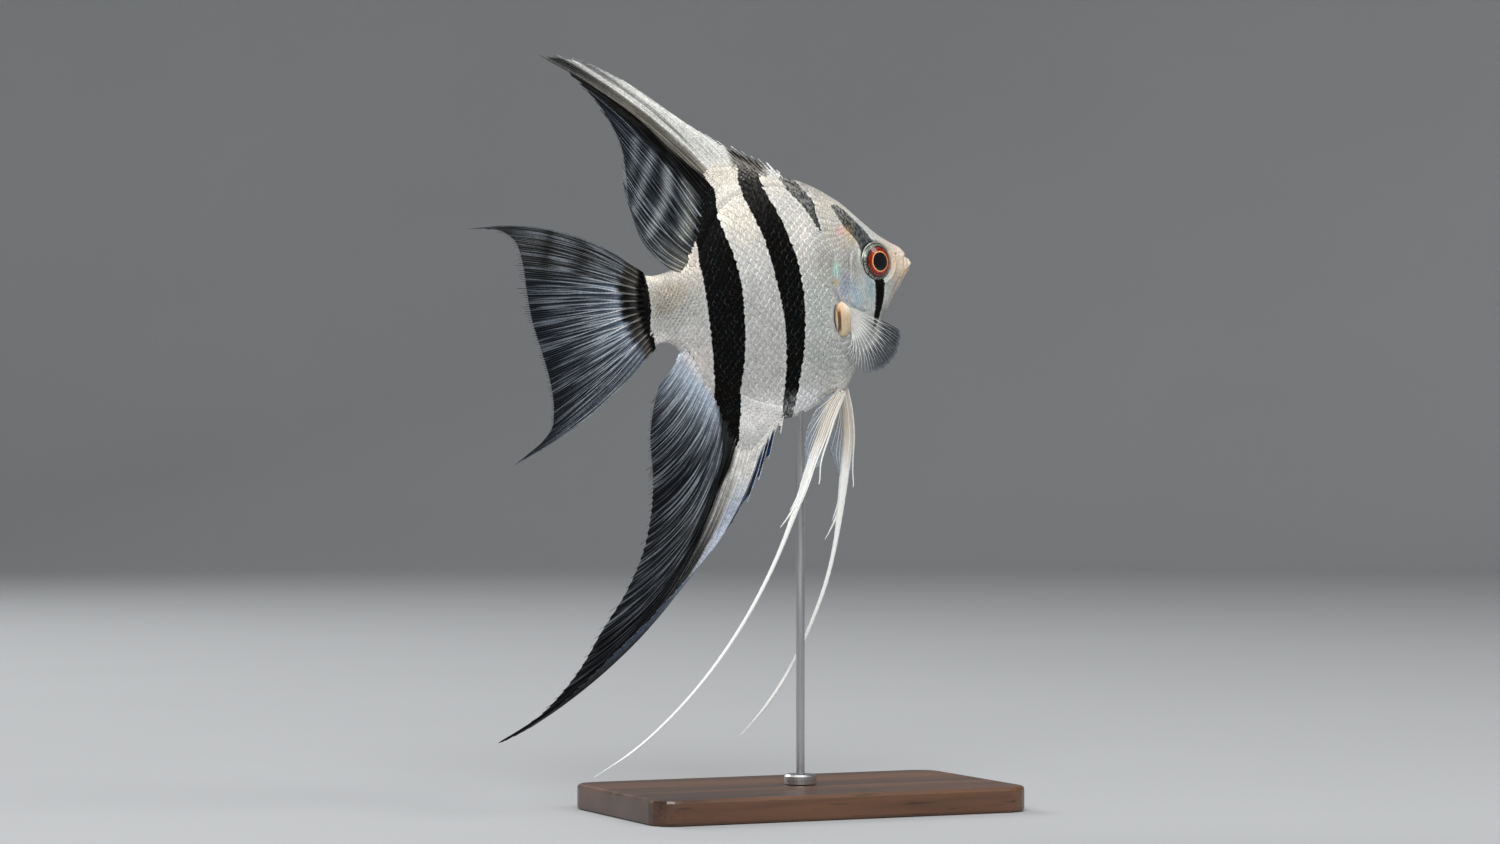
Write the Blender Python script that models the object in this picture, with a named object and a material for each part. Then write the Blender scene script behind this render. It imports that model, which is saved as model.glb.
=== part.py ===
"""A freshwater angelfish, life size, as a still museum model on a plain display stand.

Run with: blender --background --python part.py

The fish is modelled level, in millimetres, in a frame of its own: x runs forward from the base of the
tail fin, y to the fish's left, z up. An empty then pitches it head up and lifts it onto the stand.
The world's origin is the middle of the stand's underside.
"""

import math

import bmesh
import bpy
import numpy as np
from mathutils import Matrix, Vector

MM = 0.001
GAP = 0.3  # between neighbouring pieces, all lengths in mm

# The stand
BASE_LENGTH, BASE_WIDTH, BASE_HEIGHT = 112.0, 64.0, 7.0
BASE_CORNER, BASE_CHAMFER = 7.0, 0.9
ROD_RADIUS = 1.2
ROD_IN_BASE, ROD_IN_BODY = 4.5, 6.0
COLLAR_RADIUS, COLLAR_HEIGHT, COLLAR_CHAMFER = 4.5, 2.6, 0.5

# How the fish is held
PITCH_DEG = 10.0
TAIL_HEIGHT = 138.0  # the middle of the tail fin's base over the floor
ROD_X = 38.0  # where the rod meets the belly, between the pelvic fins and the anal fin

# The body: its outline along x, and how wide it is at its widest level
TAIL_END, SNOUT = -3.0, 78.4
BACK = [(-3, 10.8), (0, 9.5), (3.5, 9.5), (7, 10.4), (10.5, 12.8), (14, 17.0), (18, 22.8), (22, 27.4),
        (26, 30.0), (32, 31.4), (38, 31.4), (44, 30.1), (50, 27.6), (56, 23.8), (61, 19.4), (66, 13.9),
        (70, 9.8), (73.6, 7.0), (75.8, 5.3), (76.8, 3.8), (77.7, 2.6), (78.4, 1.1)]
BELLY = [(-3, -10.4), (0, -9.3), (3.3, -10.2), (7, -15.0), (11, -21.6), (15, -27.0), (20, -31.0),
         (27, -34.6), (33, -36.0), (38, -35.8), (43, -34.3), (48, -32.4), (53, -30.9), (57.8, -25.2),
         (62, -20.2), (66.4, -15.0), (69.6, -10.8), (72.6, -7.4), (75, -4.7), (76.8, -2.6), (78.4, -0.9)]
HALF_WIDTH = [(-3, 1.4), (0, 1.8), (7, 2.8), (15, 4.1), (25, 5.7), (35, 6.8), (45, 7.3), (53, 7.0),
              (60, 6.1), (66, 5.1), (70, 4.1), (74, 2.9), (76.5, 2.0), (78.4, 1.1)]
WIDEST_LEVEL = [(-3, 0), (15, 0), (35, 0.5), (50, -1), (60, -2), (68, -1.2), (74, -0.6), (78.4, 0.1)]
FLANK_CURVE, FLANK_ROUNDING = 1.9, 0.62
BODY_SECTIONS, BODY_SIDES = 34, 28

# The cuts between head and trunk, trunk and tail, and round the lower jaw, seen from the side
HEAD_CUT = [(43.4, 48), (51.6, 24), (54.0, 17), (54.2, 12.5), (53.4, 7.8), (52.4, 1), (51.0, -5.8),
            (51.7, -9.3), (54.9, -12.6), (58.4, -16.6), (60.4, -21.0), (64.0, -48)]
GILL_COVER_REAR = slice(3, 10)  # the points of HEAD_CUT that the gill cover shares
GILL_COVER_FRONT = [(63.6, -14.8), (62.7, -9), (60.9, -3), (59.6, 3), (58.6, 9), (57.0, 13.2)]
GILL_COVER_DEPTH = 3.3  # how far from the middle the gill covers begin
GILL_COVER_RISE = 0.2
TAIL_CUT = [(10.0, 48), (9.0, 8), (9.4, 0), (9.0, -8), (10.0, -48)]
JAW_CUT = [(80, -0.15), (76.4, -0.9), (73.6, -1.9), (71.4, -5.2), (69.6, -9.4), (67.5, -16)]

# The eyes
EYE_X, EYE_Y, EYE_Z = 66.3, 3.45, 2.5
EYE_RADIUS, EYE_DEPTH = 5.0, 2.5
EYE_TOE_IN_DEG = 17.0

# Median fins: outlines run from the front of the fin's base, by its tip, to the rear of its base
DORSAL_BASE = (44.5, 8.0)
DORSAL_OUTLINE = [(43.6, 31.2), (40.8, 33.2), (35.3, 36.8), (29.8, 40.6), (24.4, 44.6), (19.1, 49.0),
                  (13.9, 53.6), (8.8, 58.3), (3.4, 62.8), (-3.8, 67.6), (-10.8, 70.9), (-18.2, 72.4),
                  (-12.0, 67.0), (-7.6, 60.2), (-4.0, 52.8), (-1.9, 45.2), (-2.0, 38.0), (-2.4, 31.3),
                  (-1.8, 25.7), (-0.4, 19.4), (2.2, 13.8), (5.6, 11.2)]
DORSAL_TIP = 11  # the index of the tip in the outline
ANAL_BASE = (33.0, 6.0)
ANAL_OUTLINE = [(32.4, -36.8), (30.5, -39.4), (26.6, -45.0), (22.3, -50.4), (18.0, -55.0), (11.8, -60.9),
                (3.5, -67.8), (-5.9, -74.4), (-20.0, -83.8), (-33.8, -91.9), (-47.4, -99.8),
                (-56.6, -103.8), (-66.6, -106.3), (-54.8, -102.0), (-46.4, -96.6), (-40.0, -91.2),
                (-33.2, -83.8), (-22.6, -73.0), (-15.8, -63.1), (-11.3, -52.0), (-9.3, -43.0),
                (-8.2, -34.0), (-5.8, -26.5), (-2.8, -20.5), (0.8, -15.0), (3.8, -12.2)]
ANAL_TIP = 12
CAUDAL_BASE = (10.9, -10.6)
CAUDAL_OUTLINE = [(-47.2, 30.1), (-42.2, 29.2), (-38.4, 27.0), (-36.4, 24.3), (-35.7, 20.5),
                  (-35.8, 11.5), (-35.8, 3.2), (-34.8, -5.1), (-33.9, -13.8), (-34.4, -22.0),
                  (-35.9, -26.6), (-38.8, -29.3), (-43.6, -31.9), (-49.3, -34.5)]
FIN_ROOT, FIN_EDGE = 0.65, 0.27  # half thicknesses
RAY_RISE = 0.1
SPINE_TIP = 0.7  # how far a spine's tip stands out of the fin's front edge

# Paired fins, on the fish's right
PECTORAL_BASE = [(52.4, -6.2, -7.6), (51.8, -6.2, -11.6), (52.2, -6.0, -15.4)]
PECTORAL_OUTLINE = [(64.2, -16.5, -16.6), (64.2, -16.5, -19.4), (61.6, -15.6, -23.8),
                    (57.0, -15.0, -26.3), (52.6, -14.6, -26.0), (47.6, -13.2, -24.2),
                    (43.6, -11.6, -21.2)]
PELVIC_RIGHT = [(50.4, -1.5, -31.2), (45.4, -2.6, -36.8), (41.4, -3.4, -42.7), (37.4, -4.1, -48.4),
                (33.3, -4.9, -55.1), (29.4, -5.5, -61.1), (21.7, -6.2, -72.3), (13.1, -6.7, -82.9),
                (3.5, -7.3, -92.7), (-7.0, -8.0, -101.5), (-18.4, -8.8, -109.2), (-30.6, -9.4, -115.7),
                (-43.6, -10.0, -120.3)]
PELVIC_LEFT = [(53.0, 1.5, -31.2), (53.4, 2.6, -38.3), (53.0, 3.4, -44.8), (51.6, 4.1, -51.0),
               (49.9, 4.8, -57.6), (47.8, 5.5, -65.1), (44.6, 6.0, -74.6), (40.6, 6.7, -83.9),
               (35.6, 7.4, -92.6), (30.0, 7.9, -100.8), (23.7, 8.5, -108.5), (16.6, 9.3, -115.4),
               (8.6, 10.0, -121.3)]
# Along a pelvic fin, in mm from its root: the long ray's half width and half thickness, how far the
# web's edge stands behind that ray and the spine before it, and how far both turn outward
PELVIC_WIDTH = [(0, 1.2), (8, 1.5), (16, 1.5), (22, 1.35), (30, 1.1), (38, 0.8), (42, 0.62), (55, 0.5),
                (80, 0.4), (105, 0.32), (140, 0.25)]
PELVIC_THICKNESS = [(0, 0.8), (30, 0.5), (60, 0.36), (140, 0.25)]
PELVIC_WEB = [(0.5, 1.3), (4, 3.0), (9, 4.6), (14, 5.4), (18, 4.6), (22, 2.6), (25.5, 1.2)]
PELVIC_SPINE = [(0.5, 1.5), (5, 1.9), (12, 2.3), (18, 2.5), (22, 2.4), (25.5, 0.9)]
PELVIC_FLARE = 0.34
PELVIC_BRANCH = (33.0, 43.0, 2.6)  # where the second ray leaves the first, where it ends, how far off
PELVIC_SIDES = 6

COLOURS = {  # base colour, roughness, metallic
    "head": ((0.66, 0.64, 0.56), 0.35, 0.1),
    "gill_cover": ((0.58, 0.66, 0.66), 0.3, 0.2),
    "lower_jaw": ((0.62, 0.58, 0.50), 0.4, 0.0),
    "trunk": ((0.68, 0.69, 0.66), 0.35, 0.1),
    "tail_stalk": ((0.70, 0.66, 0.57), 0.35, 0.1),
    "dorsal_fin": ((0.20, 0.22, 0.25), 0.45, 0.0),
    "anal_fin": ((0.17, 0.20, 0.24), 0.45, 0.0),
    "caudal_fin": ((0.30, 0.33, 0.37), 0.45, 0.0),
    "pectoral_fin": ((0.62, 0.62, 0.56), 0.4, 0.0),
    "pelvic_fin": ((0.72, 0.76, 0.80), 0.4, 0.0),
    "eye": ((0.35, 0.04, 0.03), 0.08, 0.0),
    "stand_base": ((0.10, 0.055, 0.03), 0.35, 0.0),
    "stand_rod": ((0.62, 0.62, 0.62), 0.28, 1.0),
    "stand_collar": ((0.62, 0.62, 0.62), 0.28, 1.0),
}


def clear_scene():
    for obj in list(bpy.data.objects):
        bpy.data.objects.remove(obj, do_unlink=True)


# ---------------------------------------------------------------- curves


def smooth(points):
    """A function through the points (x, value), in cubic pieces, each slope from a point's neighbours."""
    xs = np.array([point[0] for point in points], float)
    values = np.array([point[1:] for point in points], float)
    slopes = np.gradient(values, xs, axis=0)

    def at(x):
        x = np.clip(np.asarray(x, float), xs[0], xs[-1])
        i = np.clip(np.searchsorted(xs, x) - 1, 0, len(xs) - 2)
        step = xs[i + 1] - xs[i]
        s = ((x - xs[i]) / step)[..., None]
        step = step[..., None]
        start = (2 * s**3 - 3 * s**2 + 1) * values[i] + (s**3 - 2 * s**2 + s) * step * slopes[i]
        end = (3 * s**2 - 2 * s**3) * values[i + 1] + (s**3 - s**2) * step * slopes[i + 1]
        both = start + end
        return both[..., 0] if both.shape[-1] == 1 else both

    return at


def along(points):
    """A function of 0..1 that runs through the points at an even pace, as a smooth curve."""
    points = np.array(points, float)
    lengths = np.linalg.norm(np.diff(points, axis=0), axis=1)
    shares = np.concatenate([[0], np.cumsum(lengths)]) / lengths.sum()
    return smooth([(share, *point) for share, point in zip(shares, points)])


def share_of(points, index):
    """How far along the points the one with this index lies, from 0 to 1."""
    lengths = np.linalg.norm(np.diff(np.array(points, float), axis=0), axis=1)
    return lengths[:index].sum() / lengths.sum()


back, belly = smooth(BACK), smooth(BELLY)
half_width, widest_level = smooth(HALF_WIDTH), smooth(WIDEST_LEVEL)


# ---------------------------------------------------------------- meshes and materials


def material_for(name):
    key = name.replace("_left", "").replace("_right", "")
    colour, roughness, metallic = COLOURS[key]
    material = bpy.data.materials.new(name)
    material.use_nodes = True
    shader = material.node_tree.nodes["Principled BSDF"]
    shader.inputs["Base Color"].default_value = (*colour, 1)
    shader.inputs["Roughness"].default_value = roughness
    shader.inputs["Metallic"].default_value = metallic
    material.diffuse_color = (*colour, 1)
    return material


def new_object(name, bm, parent=None, helper=False):
    """An object from a bmesh in millimetres; a helper is only a cutter or an addition, and isn't a node."""
    bmesh.ops.recalc_face_normals(bm, faces=bm.faces)
    if bm.calc_volume(signed=True) < 0:
        bmesh.ops.reverse_faces(bm, faces=bm.faces)
    bmesh.ops.scale(bm, vec=(MM, MM, MM), verts=bm.verts)
    mesh = bpy.data.meshes.new(name)
    bm.to_mesh(mesh)
    bm.free()
    mesh.shade_smooth()
    mesh.set_sharp_from_angle(angle=math.radians(40))
    obj = bpy.data.objects.new(name, mesh)
    bpy.context.scene.collection.objects.link(obj)
    obj.parent = parent
    if helper:
        obj.hide_render = True
        obj.display_type = "WIRE"
    else:
        mesh.materials.append(material_for(name))
    return obj


def boolean(obj, operation, other):
    modifier = obj.modifiers.new(f"{operation.lower()} {other.name}", "BOOLEAN")
    modifier.operation = operation
    modifier.solver = "EXACT"
    modifier.object = other


def loft(rings):
    """A closed bmesh over a row of rings of points, with a flat face on each end."""
    bm = bmesh.new()
    rows = [[bm.verts.new(point) for point in ring] for ring in rings]
    for low, high in zip(rows, rows[1:]):
        for i in range(len(low)):
            j = (i + 1) % len(low)
            bm.faces.new((low[i], low[j], high[j], high[i]))
    bm.faces.new(rows[0])
    bm.faces.new(rows[-1])
    return bm


def prism(outline, low, high):
    """A closed bmesh: an outline in x and z, drawn out along y from low to high."""
    return loft([[(x, y, z) for x, z in outline] for y in (low, high)])


def cylinder(radius, low, high, chamfer=0.0, sides=20):
    """An upright round bar in the world's z, with its upper edge chamfered."""
    levels = [(radius, low), (radius, high - chamfer), (radius - chamfer, high)]
    if not chamfer:
        levels = levels[:1] + [(radius, high)]
    turns = [2 * math.pi * i / sides for i in range(sides)]
    return loft([[(r * math.cos(a), r * math.sin(a), z) for a in turns] for r, z in levels])


def shifted(points, distance, closed=False):
    """The outline moved to its left by a distance, corners kept sharp."""
    points = np.array(points, float)
    count = len(points)
    moved = []
    for i in range(count):
        before = points[i] - points[i - 1] if closed or i else points[1] - points[0]
        after = points[(i + 1) % count] - points[i] if closed or i < count - 1 else before
        before, after = before / np.linalg.norm(before), after / np.linalg.norm(after)
        normal = np.array([-(before + after)[1], (before + after)[0]])
        normal /= np.linalg.norm(normal)
        moved.append(points[i] + normal * distance / max(normal @ (-before[1], before[0]), 0.3))
    return [tuple(point) for point in moved]


# ---------------------------------------------------------------- the body


def body_rings(grow):
    """Rings of the body's skin from tail to snout, closer together towards the snout."""
    rings = []
    for i in range(BODY_SECTIONS + 1):
        share = 1 - (1 - i / BODY_SECTIONS) ** 1.5
        x = TAIL_END + (SNOUT - TAIL_END) * share
        top, low = back(x) + grow, belly(x) - grow
        wide, level = half_width(x) + grow, widest_level(x)
        ring = []
        for k in range(BODY_SIDES):
            turn = 2 * math.pi * k / BODY_SIDES
            height = math.cos(turn)
            z = level + height * ((top - level) if height > 0 else (level - low))
            y = wide * max(0.0, 1 - abs(height) ** FLANK_CURVE) ** FLANK_ROUNDING
            end = -grow if i == 0 else grow if i == BODY_SECTIONS else 0
            ring.append((x + end, y if math.sin(turn) > 0 else -y, z))
        rings.append(ring)
    return rings


def body(name, parent, grow=0.0, helper=False):
    return new_object(name, loft(body_rings(grow)), parent, helper)


def region(name, outline, parent, low=-15.0, high=15.0):
    return new_object(name, prism(outline, low, high), parent, helper=True)


def fore_and_aft(cut, far_x):
    """The region between a cut, from top to bottom, and a far line at far_x, above and below the body."""
    return cut + [(far_x, cut[-1][1]), (far_x, cut[0][1])]


def make_trunk_and_tail(fish, rod_hole):
    trunk = body("trunk", fish)
    front = shifted(HEAD_CUT, -GAP / 2)
    rear = shifted(TAIL_CUT, GAP / 2)
    boolean(trunk, "INTERSECT", region("trunk region", front + rear[::-1], fish))
    boolean(trunk, "DIFFERENCE", rod_hole)
    tail = body("tail_stalk", fish)
    boolean(tail, "INTERSECT", region("tail region", fore_and_aft(shifted(TAIL_CUT, -GAP / 2), -20), fish))


def make_head(fish):
    head = body("head", fish)
    boolean(head, "INTERSECT", region("head region", fore_and_aft(shifted(HEAD_CUT, GAP / 2), 90), fish))
    jaw_outline = JAW_CUT + [(80, -16)]
    jaw = body("lower_jaw", fish)
    boolean(jaw, "INTERSECT", region("jaw region", shifted(jaw_outline, GAP / 2, closed=True), fish))
    boolean(head, "DIFFERENCE", region("jaw room", shifted(jaw_outline, -GAP / 2, closed=True), fish))
    cover_outline = HEAD_CUT[GILL_COVER_REAR] + GILL_COVER_FRONT
    for side, sign in (("right", -1), ("left", 1)):
        near, far = sorted((sign * GILL_COVER_DEPTH, sign * 15))
        cover = body(f"gill_cover_{side}", fish, GILL_COVER_RISE)
        inner = shifted(cover_outline, GAP / 2, closed=True)
        boolean(cover, "INTERSECT", region(f"gill cover region {side}", inner, fish, near, far))
        near, far = sorted((sign * (GILL_COVER_DEPTH - GAP), sign * 16))
        outer = shifted(cover_outline, -GAP / 2, closed=True)
        boolean(head, "DIFFERENCE", region(f"gill cover room {side}", outer, fish, near, far))
        new_object(f"eye_{side}", eye_ball(sign, 0), fish)
        socket = new_object(f"eye socket {side}", eye_ball(sign, GAP), fish, helper=True)
        boolean(head, "DIFFERENCE", socket)


def eye_ball(sign, grow):
    """A flattened ball, its axis turned a little forward from straight out."""
    bm = bmesh.new()
    bmesh.ops.create_uvsphere(bm, u_segments=20, v_segments=10, radius=1)
    flatten = Matrix.Diagonal((EYE_RADIUS + grow, EYE_RADIUS + grow, EYE_DEPTH + grow, 1))
    outward = Matrix.Rotation(-sign * math.pi / 2, 4, "X")
    toe_in = Matrix.Rotation(-sign * math.radians(EYE_TOE_IN_DEG), 4, "Z")
    place = Matrix.Translation((EYE_X, sign * EYE_Y, EYE_Z))
    bmesh.ops.transform(bm, matrix=place @ toe_in @ outward @ flatten, verts=bm.verts)
    return bm


# ---------------------------------------------------------------- fins


def sheet(points, half_thickness):
    """A closed bmesh round a grid of points (ray, step, xyz), thick across the grid's own surface."""
    across_rays, along_rays = np.gradient(points, axis=(0, 1))
    normals = np.cross(across_rays, along_rays)
    normals /= np.linalg.norm(normals, axis=2, keepdims=True)
    faces = [points + normals * half_thickness[..., None], points - normals * half_thickness[..., None]]
    bm = bmesh.new()
    front, rear = ([[bm.verts.new(point) for point in row] for row in face] for face in faces)
    rays, steps = points.shape[:2]
    for grid in (front, rear):
        for i in range(rays - 1):
            for j in range(steps - 1):
                bm.faces.new((grid[i][j], grid[i + 1][j], grid[i + 1][j + 1], grid[i][j + 1]))
    border = [(i, 0) for i in range(rays)] + [(rays - 1, j) for j in range(1, steps)]
    border += [(i, steps - 1) for i in range(rays - 2, -1, -1)] + [(0, j) for j in range(steps - 2, 0, -1)]
    for (i, j), (k, m) in zip(border, border[1:] + border[:1]):
        bm.faces.new((front[i][j], front[k][m], rear[k][m], rear[i][j]))
    return bm


def ray_grid(bases, tips, bends, steps):
    """Rays from each base to each tip, each bowed by its bend, a vector at the ray's middle."""
    s = np.linspace(0, 1, steps)[None, :, None]
    middles = (bases + tips) / 2 + 2 * bends
    return (1 - s) ** 2 * bases[:, None] + 2 * s * (1 - s) * middles[:, None] + s**2 * tips[:, None]


def thickness(rays, steps, root):
    """Half thicknesses, from the root to the edge, with every other ray standing a little proud."""
    s = np.linspace(0, 1, steps)
    taper = FIN_EDGE + (root - FIN_EDGE) * (1 - s) ** 2
    ridges = np.where(np.arange(rays) % 2 == 0, RAY_RISE, 0)
    return taper[None, :] + ridges[:, None] * np.sin(math.pi * s) ** 0.5


def median_fin(name, parent, bases, outline, shares, bow, sway, spines, root=FIN_ROOT, steps=9):
    """A fin in the fish's middle plane. bow is how far each ray bends, as a share of its length, and
    sway how far the ray's tip stands to the fish's left; both are functions of 0..1 along the base."""
    rays = len(bases)
    u = np.linspace(0, 1, rays)
    tips = along(outline)(shares(u))
    chords = tips - bases
    reach = np.linalg.norm(chords, axis=1, keepdims=True)
    spiny = (np.arange(rays) % 2 == 0) & (u > 0) & (u < spines)
    tips = tips + chords / reach * np.where(spiny, SPINE_TIP, 0)[:, None]
    bends = np.stack([-chords[:, 1], chords[:, 0]], axis=1) * bow(u)[:, None]

    def in_plane(flat):
        return np.stack([flat[:, 0], np.zeros(rays), flat[:, 1]], axis=1)

    points = ray_grid(in_plane(bases), in_plane(tips), in_plane(bends), steps)
    points[:, :, 1] += sway(u)[:, None] * np.linspace(0, 1, steps)[None, :] ** 2
    return new_object(name, sheet(points, thickness(rays, steps, root)), parent)


def make_median_fins(fish):
    u = np.linspace(0, 1, 29)
    x = DORSAL_BASE[0] + (DORSAL_BASE[1] - DORSAL_BASE[0]) * u
    tip = share_of(DORSAL_OUTLINE, DORSAL_TIP)
    shares = smooth([(0, 0), (0.2, tip * 0.32), (0.38, tip * 0.78), (0.46, tip),
                     (0.54, tip * 1.08), (0.75, 0.8), (1, 1)])
    bases = np.stack([x, back(x) + GAP], axis=1)
    bow = smooth([(0, 0.0), (0.2, -0.02), (0.46, -0.045), (0.75, -0.05), (1, -0.03)])
    sway = smooth([(0, 0), (0.46, 4.0), (0.7, 1.5), (1, 0.5)])
    median_fin("dorsal_fin", fish, bases, DORSAL_OUTLINE, shares, bow, sway, 0.34)

    u = np.linspace(0, 1, 27)
    x = ANAL_BASE[0] + (ANAL_BASE[1] - ANAL_BASE[0]) * u
    tip = share_of(ANAL_OUTLINE, ANAL_TIP)
    shares = smooth([(0, 0), (0.14, tip * 0.3), (0.26, tip * 0.7), (0.34, tip),
                     (0.42, tip * 1.08), (0.7, 0.79), (1, 1)])
    bases = np.stack([x, belly(x) - GAP], axis=1)
    bow = smooth([(0, 0.0), (0.14, 0.02), (0.27, 0.055), (0.34, 0.085), (0.42, 0.08), (0.55, 0.05),
                  (1, 0.03)])
    sway = smooth([(0, 0), (0.34, -5.0), (0.7, -1.5), (1, -0.5)])
    median_fin("anal_fin", fish, bases, ANAL_OUTLINE, shares, bow, sway, 0.2, steps=11)

    u = np.linspace(0, 1, 21)
    z = CAUDAL_BASE[0] + (CAUDAL_BASE[1] - CAUDAL_BASE[0]) * u
    bases = np.stack([np.full(len(u), TAIL_END - GAP), z], axis=1)
    bow = smooth([(0, -0.104), (0.25, -0.03), (0.5, 0.0), (0.75, 0.025), (1, 0.062)])
    sway = smooth([(0, 2.5), (0.5, 1.0), (1, -2.0)])
    median_fin("caudal_fin", fish, bases, CAUDAL_OUTLINE, lambda u: u, bow, sway, 0, root=1.1)


def mirrored(points, sign):
    """Points given for the fish's right, moved to the side that sign names."""
    return np.array(points, float) * (1, -sign, 1)


def make_pectoral_fins(fish, body_room):
    rays, steps = 13, 7
    u = np.linspace(0, 1, rays)
    for side, sign in (("right", -1), ("left", 1)):
        bases = along(mirrored(PECTORAL_BASE, sign))(u)
        tips = along(mirrored(PECTORAL_OUTLINE, sign))(u)
        outward = np.array([0.6, sign * 1.3, -0.3])
        bends = np.repeat(outward[None], rays, axis=0)
        points = ray_grid(bases, tips, bends, steps)
        fin = new_object(f"pectoral_fin_{side}", sheet(points, thickness(rays, steps, FIN_ROOT)), fish)
        boolean(fin, "DIFFERENCE", body_room)


def measured(points):
    """The curve through the points as a function of the distance from its start, and its length."""
    curve = along(points)
    length = np.linalg.norm(np.diff(np.array(points, float), axis=0), axis=1).sum()
    return lambda distance: curve(np.asarray(distance) / length), length


def direction(route, distance):
    ahead = route(distance + 0.5) - route(distance - 0.5)
    return Vector(ahead / np.linalg.norm(ahead))


def strap(route, distances, half_width, half_thickness):
    """A tapering strap along the route, wide fore and aft and thin across."""
    rings = []
    for distance in distances:
        ahead = direction(route, distance)
        backward = Vector((0, 1, 0)).cross(ahead).normalized()
        outward = ahead.cross(backward)
        ring = []
        for k in range(PELVIC_SIDES):
            turn = 2 * math.pi * (k + 0.5) / PELVIC_SIDES
            wide = backward * half_width(distance) * math.cos(turn)
            deep = outward * half_thickness(distance) * math.sin(turn)
            ring.append(Vector(route(distance)) + wide + deep)
        rings.append(ring)
    return loft(rings)


def pelvic_blade(route, sign):
    """The upper part: a spine in front of the long ray and the web behind it, both turned outward."""
    web, spine = smooth(PELVIC_WEB), smooth(PELVIC_SPINE)
    rows = []
    for distance in np.linspace(PELVIC_WEB[0][0], PELVIC_WEB[-1][0], 9):
        ahead = direction(route, distance)
        forward = np.array([-ahead.z, 0, ahead.x]) / math.hypot(ahead.x, ahead.z)
        across = np.array([-web(distance), -web(distance) / 2, 0, spine(distance)])[:, None]
        outward = np.array([0, sign, 0]) * np.abs(across) * PELVIC_FLARE
        rows.append(route(distance) + forward * across + outward)
    points = np.array(rows).transpose(1, 0, 2)
    half = np.full(points.shape[:2], 0.3)
    half[-1] = 0.45
    return sheet(points, half)


def make_pelvic_fins(fish, body_room):
    width, depth = smooth(PELVIC_WIDTH), smooth(PELVIC_THICKNESS)
    start, end, off = PELVIC_BRANCH
    for side, sign, points in (("right", -1, PELVIC_RIGHT), ("left", 1, PELVIC_LEFT)):
        route, length = measured(points)
        stations = length * np.linspace(0, 1, 24) ** 1.15
        fin = new_object(f"pelvic_fin_{side}", strap(route, stations, width, depth), fish)
        blade = new_object(f"pelvic blade {side}", pelvic_blade(route, sign), fish, helper=True)
        boolean(fin, "UNION", blade)

        def beside(distance):
            """The second ray's line, leaving the first one's rear edge."""
            run = (distance - start) / (end - start)
            backward = Vector((0, 1, 0)).cross(direction(route, distance)).normalized()
            return route(distance) + np.array(backward) * off * run

        def thin(distance):
            return 0.45 - 0.2 * (distance - start) / (end - start)

        branch = strap(beside, np.linspace(start, end, 5), thin, thin)
        boolean(fin, "UNION", new_object(f"pelvic branch {side}", branch, fish, helper=True))
        boolean(fin, "DIFFERENCE", body_room)


# ---------------------------------------------------------------- the stand


def rod_top():
    """The rod's foot on the belly, in the world's mm with the tail fin's base at x 0, z 0."""
    pitch = math.radians(PITCH_DEG)
    x, z = ROD_X, float(belly(ROD_X))
    return x * math.cos(pitch) - z * math.sin(pitch), x * math.sin(pitch) + z * math.cos(pitch)


def make_stand():
    """The base, the rod and its collar. Returns the hole that the rod needs in the belly."""
    corners = []
    reach_x, reach_y = BASE_LENGTH / 2 - BASE_CORNER, BASE_WIDTH / 2 - BASE_CORNER
    for quarter, (sx, sy) in enumerate(((1, 1), (-1, 1), (-1, -1), (1, -1))):
        for k in range(6):
            turn = math.pi / 2 * (quarter + k / 5)
            x, y = BASE_CORNER * math.cos(turn), BASE_CORNER * math.sin(turn)
            corners.append((sx * reach_x + x, sy * reach_y + y))
    base = new_object("stand_base", loft([[(x, y, z) for x, y in corners] for z in (0, BASE_HEIGHT)]))
    chamfer = base.modifiers.new("chamfer", "BEVEL")
    chamfer.width = BASE_CHAMFER * MM
    chamfer.segments = 2
    chamfer.limit_method = "ANGLE"
    chamfer.angle_limit = math.radians(60)

    foot = BASE_HEIGHT - ROD_IN_BASE
    top = TAIL_HEIGHT + rod_top()[1] + ROD_IN_BODY
    new_object("stand_rod", cylinder(ROD_RADIUS, foot, top, chamfer=0.3))
    socket = cylinder(ROD_RADIUS + GAP, foot - GAP, BASE_HEIGHT + 5)
    boolean(base, "DIFFERENCE", new_object("base socket", socket, helper=True))

    collar_low = BASE_HEIGHT + GAP
    collar = cylinder(COLLAR_RADIUS, collar_low, collar_low + COLLAR_HEIGHT, COLLAR_CHAMFER, sides=32)
    collar = new_object("stand_collar", collar)
    bore = cylinder(ROD_RADIUS + GAP, BASE_HEIGHT - 3, BASE_HEIGHT + 8)
    boolean(collar, "DIFFERENCE", new_object("collar bore", bore, helper=True))
    return new_object("belly socket", cylinder(ROD_RADIUS + GAP, foot, top + GAP), helper=True)


def main():
    clear_scene()
    belly_socket = make_stand()
    fish = bpy.data.objects.new("fish pose", None)
    bpy.context.scene.collection.objects.link(fish)
    fish.location = (-rod_top()[0] * MM, 0, TAIL_HEIGHT * MM)
    fish.rotation_euler = (0, -math.radians(PITCH_DEG), 0)
    make_trunk_and_tail(fish, belly_socket)
    make_head(fish)
    body_room = body("body room", fish, grow=GAP + GILL_COVER_RISE, helper=True)
    make_median_fins(fish)
    make_pectoral_fins(fish, body_room)
    make_pelvic_fins(fish, body_room)


main()
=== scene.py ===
"""The looks of the still freshwater angelfish: skin, scales, eyes, fins, stand, light and camera.

Shapes are made in millimetres in the fish's own frame, as the CAD model's are: x runs forward from the
base of the tail fin, y to the fish's left, z up. to_world() turns them into the frame's metres.
"""

import math

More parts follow.
